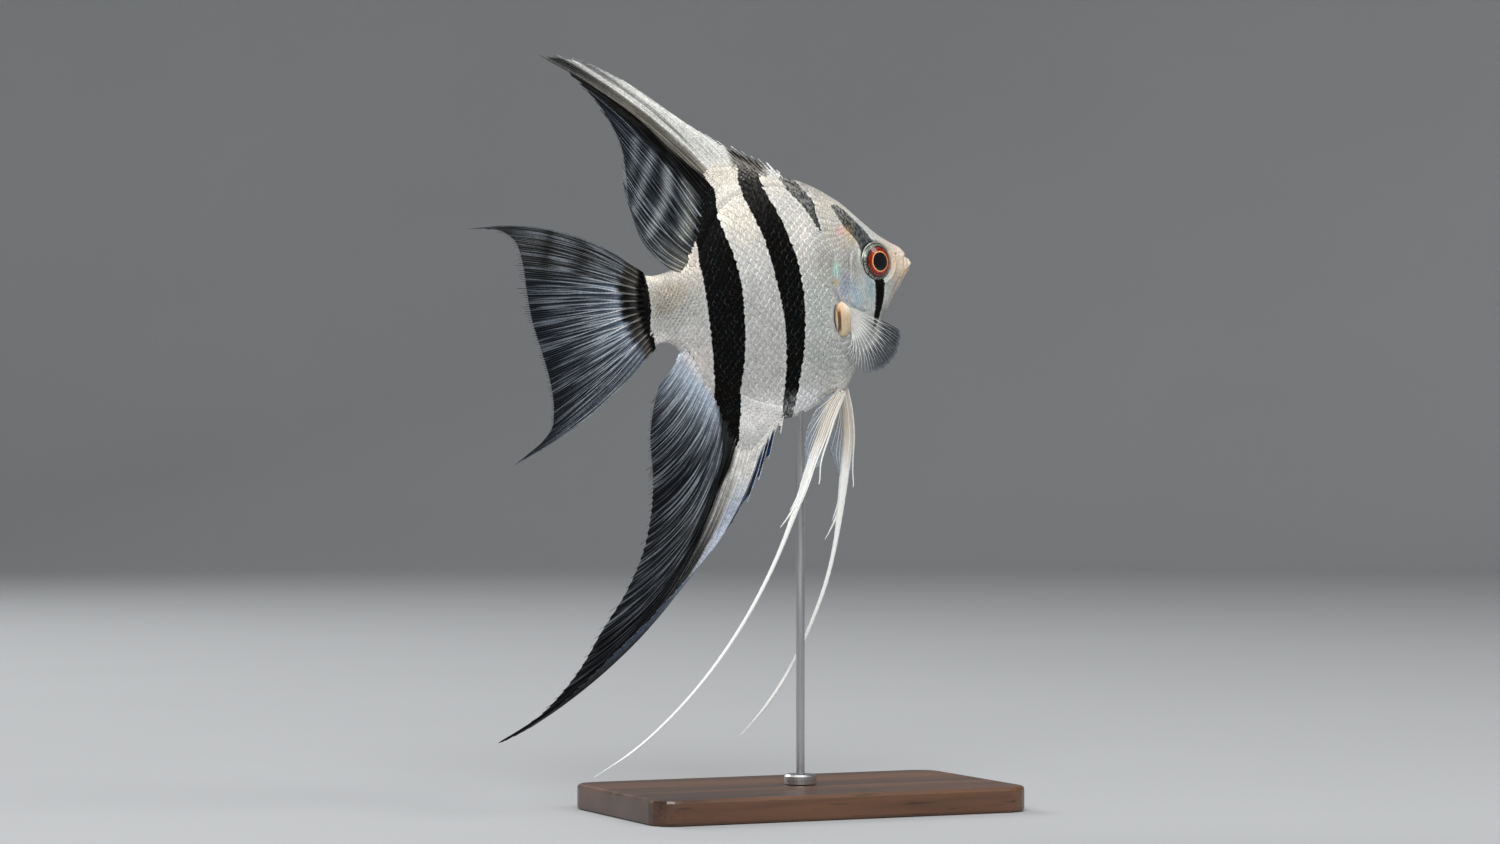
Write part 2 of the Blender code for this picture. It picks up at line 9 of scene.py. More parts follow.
import bpy
import numpy as np
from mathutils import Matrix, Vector


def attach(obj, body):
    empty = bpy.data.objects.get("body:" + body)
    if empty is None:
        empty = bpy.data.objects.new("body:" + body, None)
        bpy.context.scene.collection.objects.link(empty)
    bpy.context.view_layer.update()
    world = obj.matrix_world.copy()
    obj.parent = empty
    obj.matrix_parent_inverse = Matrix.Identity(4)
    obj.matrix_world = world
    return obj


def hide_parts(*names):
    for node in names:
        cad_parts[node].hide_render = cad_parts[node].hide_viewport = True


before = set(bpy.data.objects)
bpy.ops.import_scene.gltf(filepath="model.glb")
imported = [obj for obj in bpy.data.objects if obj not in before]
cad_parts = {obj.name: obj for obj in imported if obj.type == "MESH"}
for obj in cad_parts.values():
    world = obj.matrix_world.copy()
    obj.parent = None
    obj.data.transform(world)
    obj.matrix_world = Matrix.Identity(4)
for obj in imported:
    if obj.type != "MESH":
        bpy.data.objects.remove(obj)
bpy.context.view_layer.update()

MM = 0.001
SEED = 7

# ---------------------------------------------------------------- how the fish is held

PITCH = math.radians(10)
TAIL_HEIGHT = 138  # of the middle of the tail fin's base, over the floor
ROD_X, BELLY_AT_ROD = 38, -35.8
TAIL_X = -(ROD_X * math.cos(PITCH) - BELLY_AT_ROD * math.sin(PITCH))

# ---------------------------------------------------------------- the body's shape

BACK = [
    (-4, 10.9), (-3, 10.8), (0, 9.5), (3.5, 9.5), (7, 10.4), (10.5, 12.8), (14, 17), (18, 22.8),
    (22, 27.4), (26, 30), (32, 31.4), (38, 31.4), (44, 30.1), (50, 27.6), (56, 23.8), (61, 19.4),
    (66, 13.9), (70, 9.8), (73.4, 7.1), (75.2, 5.8), (76, 5.1), (76.65, 4.35), (77, 3.6), (77.2, 2.8),
    (77.35, 2.15), (77.7, 1.92), (78.15, 1.78), (78.45, 1.35), (78.7, 0.6)]
BELLY = [
    (-4, -10.6), (-3, -10.4), (0, -9.3), (3.3, -10.2), (7, -15), (11, -21.6), (15, -27), (20, -31),
    (27, -34.6), (33, -36), (38, -35.8), (43, -34.3), (48, -32.4), (53, -30.9), (57.8, -25.2),
    (62, -20.2), (66.4, -15), (69.6, -10.8), (72.6, -7.4), (75, -4.7), (76, -3.5), (76.9, -2.35),
    (77.65, -1.4), (78.1, -0.75), (78.5, -0.1), (78.7, 0.35)]
HALF_WIDTH = [
    (-4, 0.45), (-3, 1.2), (0, 1.8), (7, 2.8), (15, 4.1), (25, 5.7), (35, 6.8), (45, 7.3), (53, 7),
    (60, 6.1), (66, 5.1), (70, 4.1), (74, 2.9), (76.5, 2.1), (77.6, 1.7), (78.2, 1.2), (78.55, 0.7),
    (78.7, 0.3)]
WIDEST_LEVEL = [(-4, 0), (15, 0), (35, 0.5), (50, -1), (60, -2), (68, -1.2), (74, -0.6), (78.7, 0.2)]
FLANK_CURVE, FLANK_ROUNDING = 1.9, 0.62
SKIN_DEPTH = 0.16  # how far under the scales the skin lies

# Features of the head, seen from the side
EYE_CENTRE = (66.3, 3.45, 2.5)
EYE_TOE_IN = math.radians(17)
EYE_RADIUS = 5.6
GILL_EDGE = [
    (53.9, 9.5), (53.2, 6), (52.4, 1.5), (51.4, -2.5), (51.9, -5.4), (54.1, -8.2), (56.6, -10.6),
    (60.2, -12.8), (63.8, -15.2), (66, -16.5)]
CHEEK_EDGE = [
    (60.2, 9.5), (57.7, 4.8), (56.3, -1), (55.9, -5.6), (56.4, -8.6), (58.2, -10.2), (61.4, -10.6)]
LIP_FOLD = [(77.2, 2.7), (76.4, 2.2), (75.8, 0.6), (75.8, -1.2), (75.3, -2.7), (74.6, -4.4)]
MOUTH = [(79.2, 0.15), (77.9, -0.45), (76.6, -1.35), (75.9, -2.1)]
JAW_FOLD = [(75.6, -2.6), (73.2, -3.6), (70.6, -7), (68.4, -11.2)]
NOSTRIL = (73.8, 3.6)
PORES = [(72.2, 5.1), (75.2, 3.7), (71.2, -1.4), (72.8, -3), (69.9, -5), (67.9, -8.6), (61.5, 14)]
SLIT = [(51.2, -6.8), (50.4, -9), (50.1, -11.5), (50.6, -14.6)]
# z, and the x in front of which the skin has no scales
NAKED_FROM = [
    (-36, 62), (-17, 63.2), (-10, 64.6), (-3.5, 65), (2.5, 60.5), (8, 60.3), (12, 60), (18, 59.2), (26, 57)]

# ---------------------------------------------------------------- markings: (z, rear x, front x, strength)

BAR_MID = [
    (-36, 31.7, 35.4, 0.25), (-33, 32.2, 36, 0.5), (-28, 33.1, 37.3, 1), (-17, 34.7, 40.1, 1),
    (-6, 35.1, 41.6, 1), (4, 34.4, 41.9, 1), (14, 33.3, 40.5, 1), (21.5, 31.6, 38.7, 0.97),
    (26, 30.5, 37.3, 0.93), (31, 30, 36.4, 0.88), (34, 31, 37.6, 0.8), (37, 30.6, 34.4, 0.75),
    (41, 28, 30.2, 0.7)]
BAR_REAR = [
    (-46, 11, 15.5, 1), (-41, 13.2, 18, 1), (-36.6, 13.6, 18.9, 1), (-32, 13.5, 19.8, 1),
    (-27, 12.9, 20.3, 1), (-19, 13.6, 22.2, 1), (-8, 14, 23.8, 1), (3, 14.2, 24.5, 1),
    (12, 14.3, 23.8, 1), (19, 14.6, 22.4, 1), (25, 15.6, 22, 1), (29, 15.9, 22.8, 1),
    (33.5, 14.4, 20.6, 1), (37.5, 12.3, 17.6, 1), (41, 10.3, 14.8, 1)]
# The rear bar on the dorsal and the anal fin: away from the body, and from where to where among the rays
DORSAL_BAR = [
    (0, 0.55, 0.74), (1.1, 0.535, 0.69), (3.5, 0.52, 0.66), (6, 0.52, 0.66), (10.3, 0.545, 0.672),
    (14, 0.57, 0.695), (18, 0.59, 0.704), (22, 0.59, 0.714), (27, 0.57, 0.715), (34, 0.56, 0.70),
    (46, 0.57, 0.70), (58, 0.60, 0.71), (75, 0.66, 0.74)]
ANAL_BAR = [
    (0, 0.475, 0.68), (6, 0.427, 0.647), (10, 0.395, 0.616), (16, 0.39, 0.579), (22, 0.415, 0.596),
    (30, 0.424, 0.591), (43, 0.422, 0.56), (90, 0.42, 0.55)]
BAR_NAPE = [
    (13.6, 50.1, 50.8, 0.8), (16.1, 49.1, 50.5, 0.8), (18.8, 48.1, 50.4, 0.6), (21.7, 46.6, 50.6, 0.4),
    (24, 45.2, 49.6, 0.34), (26.2, 43.9, 48.4, 0.3), (28.5, 42.6, 47.3, 0.27), (31, 41, 46.4, 0.25)]
BAR_EYE_LOW = [
    (-15.6, 62.9, 63.7, 0.75), (-14.3, 62.8, 64.2, 0.9), (-12.7, 62.8, 64.95, 1), (-10.3, 63.5, 66, 1),
    (-7.8, 63.9, 66.9, 1), (-5.8, 64.2, 67.4, 1), (-3.5, 64.3, 67.7, 1), (2.5, 64.3, 67.7, 1)]
BAR_EYE_HIGH = [
    (2.5, 61, 67.4, 0.85), (7, 61.6, 67.2, 0.78), (9, 61.2, 66.4, 0.68), (11.5, 59.7, 65.1, 0.58),
    (13.8, 58.3, 63.4, 0.52), (16.2, 57.3, 61.6, 0.46), (18.2, 56.5, 60, 0.36), (20, 56, 58.2, 0.2)]
BAR_TAIL = [(-11, -7.2, -3.6, 1), (-7.5, -6.2, -3, 1), (3, -4.6, -1.4, 1), (11, -5.4, -1.3, 0.9)]

# Patches of colour on the flesh: x, z, reach along x, reach along z, sRGB colour, strength
SILVER = (0.775, 0.775, 0.76)
PATCHES = [
    (30, 35, 60, 8, (0.93, 0.88, 0.80), 0.9),  # cream under the dorsal fin
    (28, 20, 10, 9, (0.94, 0.905, 0.835), 1),
    (28, 8, 8, 6, (0.885, 0.88, 0.865), 0.8),
    (45, 14, 4.5, 8, (0.94, 0.92, 0.875), 0.9),
    (12, 11, 6, 5, (0.89, 0.83, 0.76), 0.9),  # the tail stalk's yellowish upper half
    (5, 4.5, 6, 3.5, (0.76, 0.71, 0.62), 0.9),
    (1.7, 0.5, 3.5, 3, (0.64, 0.61, 0.54), 0.8),
    (0.5, 8.8, 3.5, 1.8, (0.98, 0.94, 0.84), 0.9),
    (0.5, -8, 3.5, 1.8, (0.97, 0.95, 0.93), 0.9),
    (8, -7.5, 4, 3.5, (0.90, 0.885, 0.87), 0.75),
    (9, -15, 6, 5, (0.88, 0.84, 0.82), 0.85),  # pinkish over the anal fin's rear
    (29, -14, 6, 14, (0.755, 0.75, 0.735), 0.7),
    (24, -33, 16, 5, (1, 0.985, 0.975), 1),  # the white belly, lifted with painted light against the shade under it
    (41, -34, 7, 4.5, (0.985, 0.99, 1), 0.95),
    (51, -30, 4, 3.5, (0.94, 0.92, 0.87), 0.8),
    # greyer behind the gill cover: partly the flesh's own grey, partly painted shade where the head faces
    # away from the light
    (47, -3, 5, 5, (0.755, 0.775, 0.75), 0.7),
    (45.2, -10, 3, 7, (0.735, 0.77, 0.745), 0.8),  # a green-grey cast behind the gill cover, darkened with painted shade
    (45, -20, 4, 6, (0.71, 0.725, 0.70), 0.7),
    (50.5, 4.5, 3, 4, (0.67, 0.655, 0.60), 0.8),
    (50.5, 27, 5, 3, (0.71, 0.675, 0.635), 0.7),
    (54.5, 20, 5, 4.5, (0.84, 0.80, 0.73), 0.9),  # the peach nape
    (60, 20, 3, 3, (0.80, 0.77, 0.71), 0.7),
    (53.5, 12.5, 2.8, 3, (0.80, 0.78, 0.69), 0.7),
    (57.3, 12.4, 2, 1.5, (0.96, 0.72, 0.72), 0.9),  # a pink and a yellow patch behind the eye
    (60, 12.4, 1.9, 2.4, (0.84, 0.72, 0.44), 0.9),
    (60.4, 9.3, 1.3, 1.6, (0.78, 0.71, 0.50), 0.6),
    (57.2, 8.8, 2.2, 2.2, (0.83, 0.78, 0.70), 0.7),
    (57.5, 3.5, 4, 4, (0.64, 0.63, 0.60), 0.8),  # grey behind the eye
    (52.6, 2.2, 1.4, 2, (0.66, 0.87, 0.80), 0.9),  # aqua at the gill cover's upper corner
    (51.7, -0.9, 0.6, 0.8, (0.86, 0.70, 0.36), 0.9),
    (55.2, -0.5, 2.2, 2.4, (0.60, 0.62, 0.68), 0.6),
    (54.3, -3.8, 1.8, 2.6, (0.60, 0.66, 0.76), 0.8),  # lilac, blue and aqua on the gill cover
    (57, -3.4, 1.2, 2.2, (0.66, 0.72, 0.84), 0.6),
    (58.2, -6.6, 1.6, 3, (0.62, 0.77, 0.86), 0.75),
    (62.4, -4.4, 1.8, 3.4, (0.58, 0.74, 0.74), 0.8),
    (60.3, -5.6, 1.1, 3, (0.77, 0.80, 0.78), 0.6),
    (56.3, -8.6, 1, 1.6, (0.56, 0.60, 0.66), 0.6),
    (61.8, -10.4, 2.5, 2, (0.77, 0.79, 0.79), 0.7),
    (58.5, -14, 5, 3, (0.73, 0.735, 0.71), 0.7),  # the silver breast
    (54.5, -22, 5, 6, (0.725, 0.735, 0.715), 0.7),
    (63, -17, 2.5, 3, (0.58, 0.60, 0.57), 0.7),
    (72.5, 2, 4.4, 6, (0.87, 0.765, 0.65), 1),  # the peach snout
    (70.5, 6.3, 2.5, 1.6, (0.80, 0.76, 0.70), 0.8),
    (75.9, 4, 1.5, 1.8, (0.96, 0.87, 0.80), 0.9),
    (74.9, -0.2, 1, 2, (0.92, 0.80, 0.66), 0.7),
    (76.4, 0.6, 0.5, 1.8, (0.93, 0.79, 0.74), 0.8),
    (77.8, 0.9, 1, 1.6, (0.93, 0.87, 0.72), 1),
    (76.2, -1.5, 0.6, 0.7, (0.93, 0.72, 0.44), 0.85),
    (74.3, -2.9, 1.3, 1.6, (0.80, 0.70, 0.54), 0.7),
    (71.5, -6.5, 1.8, 4.4, (0.71, 0.645, 0.60), 0.9),  # the chin, greyer below
    (66.8, -12.4, 1.8, 3.4, (0.58, 0.58, 0.56), 0.85),
    (69, -4.2, 1.3, 4, (0.68, 0.72, 0.69), 0.75),
    (62.8, 11.6, 1.7, 2, (0.46, 0.54, 0.56), 0.6),  # blue-grey over the eye
]
PECTORAL_PATCH, PECTORAL_PEACH = (52.6, -11.5, 2.5, 4.8), (0.84, 0.76, 0.64)


# ---------------------------------------------------------------- curves and fields


def smooth(points):
    """A function through the points (x, value...), in cubic pieces, each slope from a point's neighbours."""
    xs = np.array([point[0] for point in points], float)
    values = np.array([point[1:] for point in points], float)
    slopes = np.gradient(values, xs, axis=0)

    def at(x):
        x = np.clip(np.asarray(x, float), xs[0], xs[-1])
        i = np.clip(np.searchsorted(xs, x) - 1, 0, len(xs) - 2)
        step = (xs[i + 1] - xs[i])[..., None]
        s = (x - xs[i])[..., None] / step
        start = (2 * s**3 - 3 * s**2 + 1) * values[i] + (s**3 - 2 * s**2 + s) * step * slopes[i]
        end = (3 * s**2 - 2 * s**3) * values[i + 1] + (s**3 - s**2) * step * slopes[i + 1]
        both = start + end
        return both[..., 0] if both.shape[-1] == 1 else both

    return at


def run_along(points):
    """The distance along lines of points, at each point of them."""
    steps = np.linalg.norm(np.diff(np.asarray(points, float), axis=-2), axis=-1)
    return np.concatenate([np.zeros(steps.shape[:-1] + (1,)), np.cumsum(steps, axis=-1)], axis=-1)


def along(points):
    """A function of 0..1 that runs through the points at an even pace, as a smooth curve."""
    run = run_along(points)
    return smooth([(share, *point) for share, point in zip(run / run[-1], points)])


def step_up(value, low, high):
    """0 below low, 1 above high, and an even S between them."""
    share = np.clip((value - low) / (high - low), 0, 1)
    return share * share * (3 - 2 * share)


def between(value, low, full, fade, end):
    """0, up to 1 between low and full, and down to 0 again between fade and end."""
    return step_up(value, low, full) * (1 - step_up(value, fade, end))


def hump(distance, width=1):
    return np.exp(-((distance / width) ** 2))


def off_oval(x, z, oval):
    """0 in an oval's middle and 1 on its rim; the oval is its middle's x and z, and its reach along each."""
    return np.hypot((x - oval[0]) / oval[2], (z - oval[1]) / oval[3])


def lerp(a, b, share):
    a, b = np.asarray(a, float), np.asarray(b, float)
    return a + (b - a) * np.asarray(share)[..., None]


def unit(vectors):
    return vectors / np.maximum(np.linalg.norm(vectors, axis=-1, keepdims=True), 1e-9)


def from_line(x, z, line):
    """Signed distance from a broken line, positive on its right as it runs, and the share along it."""
    ends = np.array(line, float)
    point = np.stack([x, z], axis=-1)
    best, side, share = np.full(x.shape, np.inf), np.ones(x.shape), np.zeros(x.shape)
    for i, (a, b) in enumerate(zip(ends, ends[1:])):
        run = b - a
        t = np.clip(((point - a) @ run) / (run @ run), 0, 1)
        away = point - a - t[..., None] * run
        distance = np.hypot(away[..., 0], away[..., 1])
        nearer = distance < best
        turn = run[0] * away[..., 1] - run[1] * away[..., 0]
        side = np.where(nearer, np.where(turn > 0, -1, 1), side)
        share = np.where(nearer, (i + t) / (len(ends) - 1), share)
        best = np.where(nearer, distance, best)
    return best * side, share


def markings(x, z):
    """How far inside a bar each point lies, in mm (outside it, negative), and how strong that bar is."""
    best, strength = np.full(x.shape, -50.0), np.zeros(x.shape)
    for bar in (BAR_MID, BAR_REAR, BAR_NAPE, BAR_EYE_LOW, BAR_EYE_HIGH, BAR_TAIL):
        rear, front, weight = np.moveaxis(smooth(bar)(z), -1, 0)
        inside = np.minimum(x - rear, front - x)
        past_ends = np.maximum(bar[0][0] - z, z - bar[-1][0])
        inside = np.minimum(inside, np.where(past_ends > 0, -past_ends, inside))
        nearer = inside > best
        best = np.where(nearer, inside, best)
        strength = np.where(nearer, weight, strength)
    return best, np.clip(strength, 0, 1)


def linear(colour):
    """sRGB values as the linear ones that shaders take."""
    colour = np.asarray(colour, float)
    return np.where(colour <= 0.04045, colour / 12.92, ((colour + 0.055) / 1.055) ** 2.4)


def srgb(*colour):
    return tuple(linear(colour))


def flesh_tint(x, z):
    """The flesh's colour between the bars, as linear RGB."""
    tint = np.broadcast_to(np.array(SILVER), x.shape + (3,))
    for *oval, colour, strength in PATCHES:
        tint = lerp(tint, colour, strength * hump(off_oval(x, z, oval)))
    lobe = 1 - step_up(off_oval(x, z, PECTORAL_PATCH), 0.75, 1.05)
    return linear(lerp(tint, PECTORAL_PEACH, 0.85 * lobe))


# ---------------------------------------------------------------- meshes


def to_world(points):
    """The fish's millimetres as the frame's metres."""
    x, y, z = np.moveaxis(np.asarray(points, float), -1, 0)
    across = x * math.cos(PITCH) - z * math.sin(PITCH) + TAIL_X
    up = x * math.sin(PITCH) + z * math.cos(PITCH) + TAIL_HEIGHT
    return np.stack([across, y, up], axis=-1) * MM


class Pile:
    """Closed shells gathered into one mesh, each point with its place on the UV map and its values."""

    def __init__(self):
        self.shells, self.values, self.count = [], {}, 0

    def add(self, points, quads, tris=(), flat_quads=None, **values):
        """flat_quads tells which quads keep their own flat shading; where it is given, so do all tris."""
        quads, tris = np.reshape(quads, (-1, 4)), np.reshape(tris, (-1, 3)).astype(int)
        faces = np.concatenate([quads[:, [0, 1, 2]], quads[:, [0, 2, 3]], tris])
        a, b, c = (points[faces[:, i]] for i in range(3))
        if np.einsum("ij,ij->i", a, np.cross(b, c)).sum() < 0:  # the faces look inward
            quads, tris = quads[:, ::-1], tris[:, ::-1]
        smooth_quads = np.full(len(quads), True) if flat_quads is None else ~flat_quads
        self.shells.append((points, quads + self.count, tris + self.count, smooth_quads,
                            np.full(len(tris), flat_quads is None)))
        for name, value in values.items():
            self.values.setdefault(name, []).append(value)
        self.count += len(points)

    def add_tube(self, path, wide, deep, broad, sides, u, v, **values):
        """A tapering tube; broad is the direction of its wider axis, u and the values are per ring."""
        ahead = unit(np.gradient(path, axis=0))
        broad = np.broadcast_to(np.asarray(broad, float), path.shape)
        broad = unit(broad - (broad * ahead).sum(1, keepdims=True) * ahead)
        turn = 2 * math.pi * np.arange(sides)[None, :, None] / sides
        wide, deep = (np.broadcast_to(half, len(path))[:, None, None] for half in (wide, deep))
        rings = path[:, None] + broad[:, None] * wide * np.cos(turn)
        rings = rings + np.cross(ahead, broad)[:, None] * deep * np.sin(turn)
        ends = path[[0, -1]] + ahead[[0, -1]] * wide[[0, -1], 0] * ((-0.6,), (0.6,))
        uv = np.stack([per_ring(u, sides), np.full(len(path) * sides + 2, v)], -1)
        values = {key: per_ring(each, sides) for key, each in values.items()}
        self.add(*closed_rings(rings, ends), uv=uv, **values)

    def add_sheet(self, points, half_thickness, **values):
        """A closed sheet round a grid of points, with each of its faces on its own half of the UV map."""
        shift = -grid_normals(points) * half_thickness[..., None]
        both = np.concatenate([(points + shift).reshape(-1, 3), (points - shift).reshape(-1, 3)])
        face, border = grid_faces(*points.shape[:2])
        under = len(both) // 2
        after = np.roll(border, -1)
        walls = np.stack([after, border, border + under, after + under], -1)
        quads = np.concatenate([face, face[:, ::-1] + under, walls])
        u, v = (np.linspace(0.01, end, count) for end, count in zip((0.49, 0.99), points.shape))
        front = np.stack(np.meshgrid(u, v, indexing="ij"), -1).reshape(-1, 2)
        twice = {key: np.tile(value.reshape(under, *value.shape[2:]), (2,) + (1,) * (value.ndim - 2))
                 for key, value in values.items()}
        self.add(both, quads, uv=np.concatenate([front, front + (0.5, 0)]), **twice)

    def build(self, name, material, nodes=()):
        mesh = bpy.data.meshes.new(name)
        points, quads, tris, *smoothed = (np.concatenate(part) for part in zip(*self.shells))
        corners = np.concatenate([quads.ravel(), tris.ravel()])
        starts = np.concatenate([np.arange(len(quads)) * 4, len(quads) * 4 + np.arange(len(tris)) * 3])
        mesh.vertices.add(len(points))
        mesh.vertices.foreach_set("co", to_world(points).astype(np.float32).ravel())
        mesh.loops.add(len(corners))
        mesh.loops.foreach_set("vertex_index", corners.astype(np.int32))
        mesh.polygons.add(len(starts))
        mesh.polygons.foreach_set("loop_start", starts.astype(np.int32))
        mesh.polygons.foreach_set("use_smooth", np.concatenate(smoothed))
        mesh.update(calc_edges=True)
        for key, parts in self.values.items():
            whole = np.concatenate(parts)
            if key == "uv":
                layer, kind = mesh.uv_layers.new(name="OFBake"), "uv"
                whole = ring_ends(whole[corners], len(quads), len(tris))
            elif key == "tint":
                layer, kind = mesh.color_attributes.new(key, "FLOAT_COLOR", "POINT"), "color"
                whole = np.concatenate([whole, np.ones((len(whole), 1))], axis=1)
            else:
                layer, kind = mesh.attributes.new(key, "FLOAT", "POINT"), "value"
            layer.data.foreach_set(kind, whole.astype(np.float32).ravel())
        mesh.materials.append(material)
        obj = bpy.data.objects.new(name, mesh)
        bpy.context.scene.collection.objects.link(obj)
        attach(obj, "root")
        if nodes:
            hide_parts(*nodes)


def ring_ends(uv, quads, tris):
    """The corners' places on the UV map. Where a ring closes, its last faces run on to 1, not back to 0."""
    for faces in (uv[:4 * quads].reshape(quads, 4, 2), uv[4 * quads:].reshape(tris, 3, 2)):
        if len(faces):
            spread = np.ptp(faces[..., 1], axis=1) > 0.5
            faces[..., 1] += spread[:, None] & (faces[..., 1] < 0.5)
    return uv


def closed_rings(rings, ends=None):
    """Points and faces of a row of closed rings, with a fan over each end to one more point."""
    count, sides = rings.shape[:2]
    ends = rings[[0, -1]].mean(axis=1) if ends is None else ends
    i, k = np.meshgrid(np.arange(count - 1), np.arange(sides), indexing="ij")
    right = (k + 1) % sides
    quads = np.stack([i * sides + k, i * sides + right, (i + 1) * sides + right, (i + 1) * sides + k], -1)
    k, right, last = k[0], right[0], (count - 1) * sides
    fans = [np.stack([right, k, np.full(sides, last + sides)], -1),
            np.stack([last + k, last + right, np.full(sides, last + sides + 1)], -1)]
    return np.concatenate([rings.reshape(-1, 3), ends]), quads.reshape(-1, 4), np.concatenate(fans)


def per_ring(values, sides):
    """A value for each ring of a tube, given to its points and its two ends."""
    return np.concatenate([np.repeat(values, sides), values[:1], values[-1:]])


def grid_normals(points):
    """Outward normals of a grid whose rows run forward and columns up."""
    forward, up = np.gradient(points, axis=(0, 1))
    return unit(np.cross(up, forward))


def grid_faces(rows, columns):
    """The faces of a grid of points, and the points round its border."""
    index = np.arange(rows * columns).reshape(rows, columns)
    face = np.stack([index[:-1, :-1], index[1:, :-1], index[1:, 1:], index[:-1, 1:]], -1).reshape(-1, 4)
    return face, np.concatenate([index[:-1, 0], index[-1, :-1], index[:0:-1, -1], index[0, :0:-1]])


# ---------------------------------------------------------------- materials


class Value:
    """A node's output, a number or a colour, with short calls for what is made from it."""

    def __init__(self, shader, socket):
        self.shader, self.socket = shader, socket

    def math(self, operation, *others):
        return self.shader.node("Math", (self, *others), operation=operation)

    def __add__(self, other):
        return self.math("ADD", other)

    def __mul__(self, other):
        return self.math("MULTIPLY", other)

    def __rsub__(self, other):
        return self * -1 + other

    def ramp(self, low, high, to_low=0, to_high=1, kind="SMOOTHSTEP"):
        """A number that runs from to_low to to_high, as an even S, where this one runs from low to high."""
        return self.shader.node("MapRange", (self, low, high, to_low, to_high), interpolation_type=kind)

    def line(self, low, high, to_low, to_high):
        return self.ramp(low, high, to_low, to_high, "LINEAR")

    def cover(self, share, other):
        """This colour with another one laid over it."""
        return self.shader.mix(share, self, other)

    def times(self, other, share=1):
        return self.shader.mix(share, self, other, "MULTIPLY")


class Shader:
    """A material with one Principled shader, and short calls for the nodes that feed it."""

    def __init__(self, name, **settings):
        self.material = bpy.data.materials.new(name)
        self.material.use_nodes = True
        self.tree = self.material.node_tree
        for socket, value in settings.items():
            self.set(socket.replace("_", " "), value)

    def feed(self, socket, value):
        if isinstance(value, Value):
            self.tree.links.new(value.socket, socket)
        elif isinstance(value, tuple) and len(value) == 3 and len(socket.default_value) == 4:
            socket.default_value = (*value, 1)
        else:
            socket.default_value = value

    def set(self, socket, value):
        self.feed(self.tree.nodes["Principled BSDF"].inputs[socket], value)

    def node(self, kind, inputs=(), output=0, **settings):
        """One output of a new node. Its inputs are given in their own order, or by name or number."""
        node = self.tree.nodes.new("ShaderNode" + kind)
        for key, value in settings.items():
            setattr(node, key, value)
        for key, value in inputs.items() if isinstance(inputs, dict) else enumerate(inputs):
            self.feed(node.inputs[key], value)
        return Value(self, node.outputs[output])

    def mix(self, share, a, b, blend="MIX"):
        return self.node("Mix", {0: share, 6: a, 7: b}, 2, data_type="RGBA", blend_type=blend)

    def attribute(self, name, output="Fac"):
        return self.node("Attribute", output=output, attribute_name=name)

    def attributes(self, *names):
        return [self.attribute(name) for name in names]

    def place(self, stretch, turn=0):
        """The point, stretched: in the frame's directions and metres, or in the fish's own and mm."""
        where = self.node("TexCoord", output="Object")
        if turn:
            where = self.node("Mapping", {"Vector": where, "Rotation": (0, turn, 0), "Scale": (1 / MM,) * 3})
        return self.node("Mapping", {"Vector": where, "Scale": stretch})

    def noise(self, scale, detail=3, stretch=(1, 1, 1), roughness=0.55):
        """Clouds around 0.5 in the fish's own directions; at scale 1 they are about a mm across."""
        return self.clouds(self.place(stretch, PITCH), scale, detail, roughness)

    def clouds(self, where, scale, detail, roughness=0.5, distortion=0):
        return self.node("TexNoise", {"Vector": where, "Scale": scale, "Detail": detail,
                                      "Roughness": roughness, "Distortion": distortion}, "Fac")

    def cells(self, scale, stretch=(1, 1, 1)):
        """The distance from scattered points, in cells of about a mm at scale 1."""
        return self.node("TexVoronoi", {"Vector": self.place(stretch, PITCH), "Scale": scale}, "Distance")

    def bump(self, height, distance_mm, strength):
        self.set("Normal", self.node("Bump", {"Height": height, "Distance": distance_mm * MM,
                                              "Strength": strength}))

    def finish(self, colour, clouds, dark, bright, height, distance_mm=0.05):
        """A colour clouded between two levels, and a fine bump."""
        self.set("Base Color", self.mix(1, colour, clouds.line(0.3, 0.7, dark, bright), "MULTIPLY"))
        self.bump(height, distance_mm, 0.5)
        return self.material


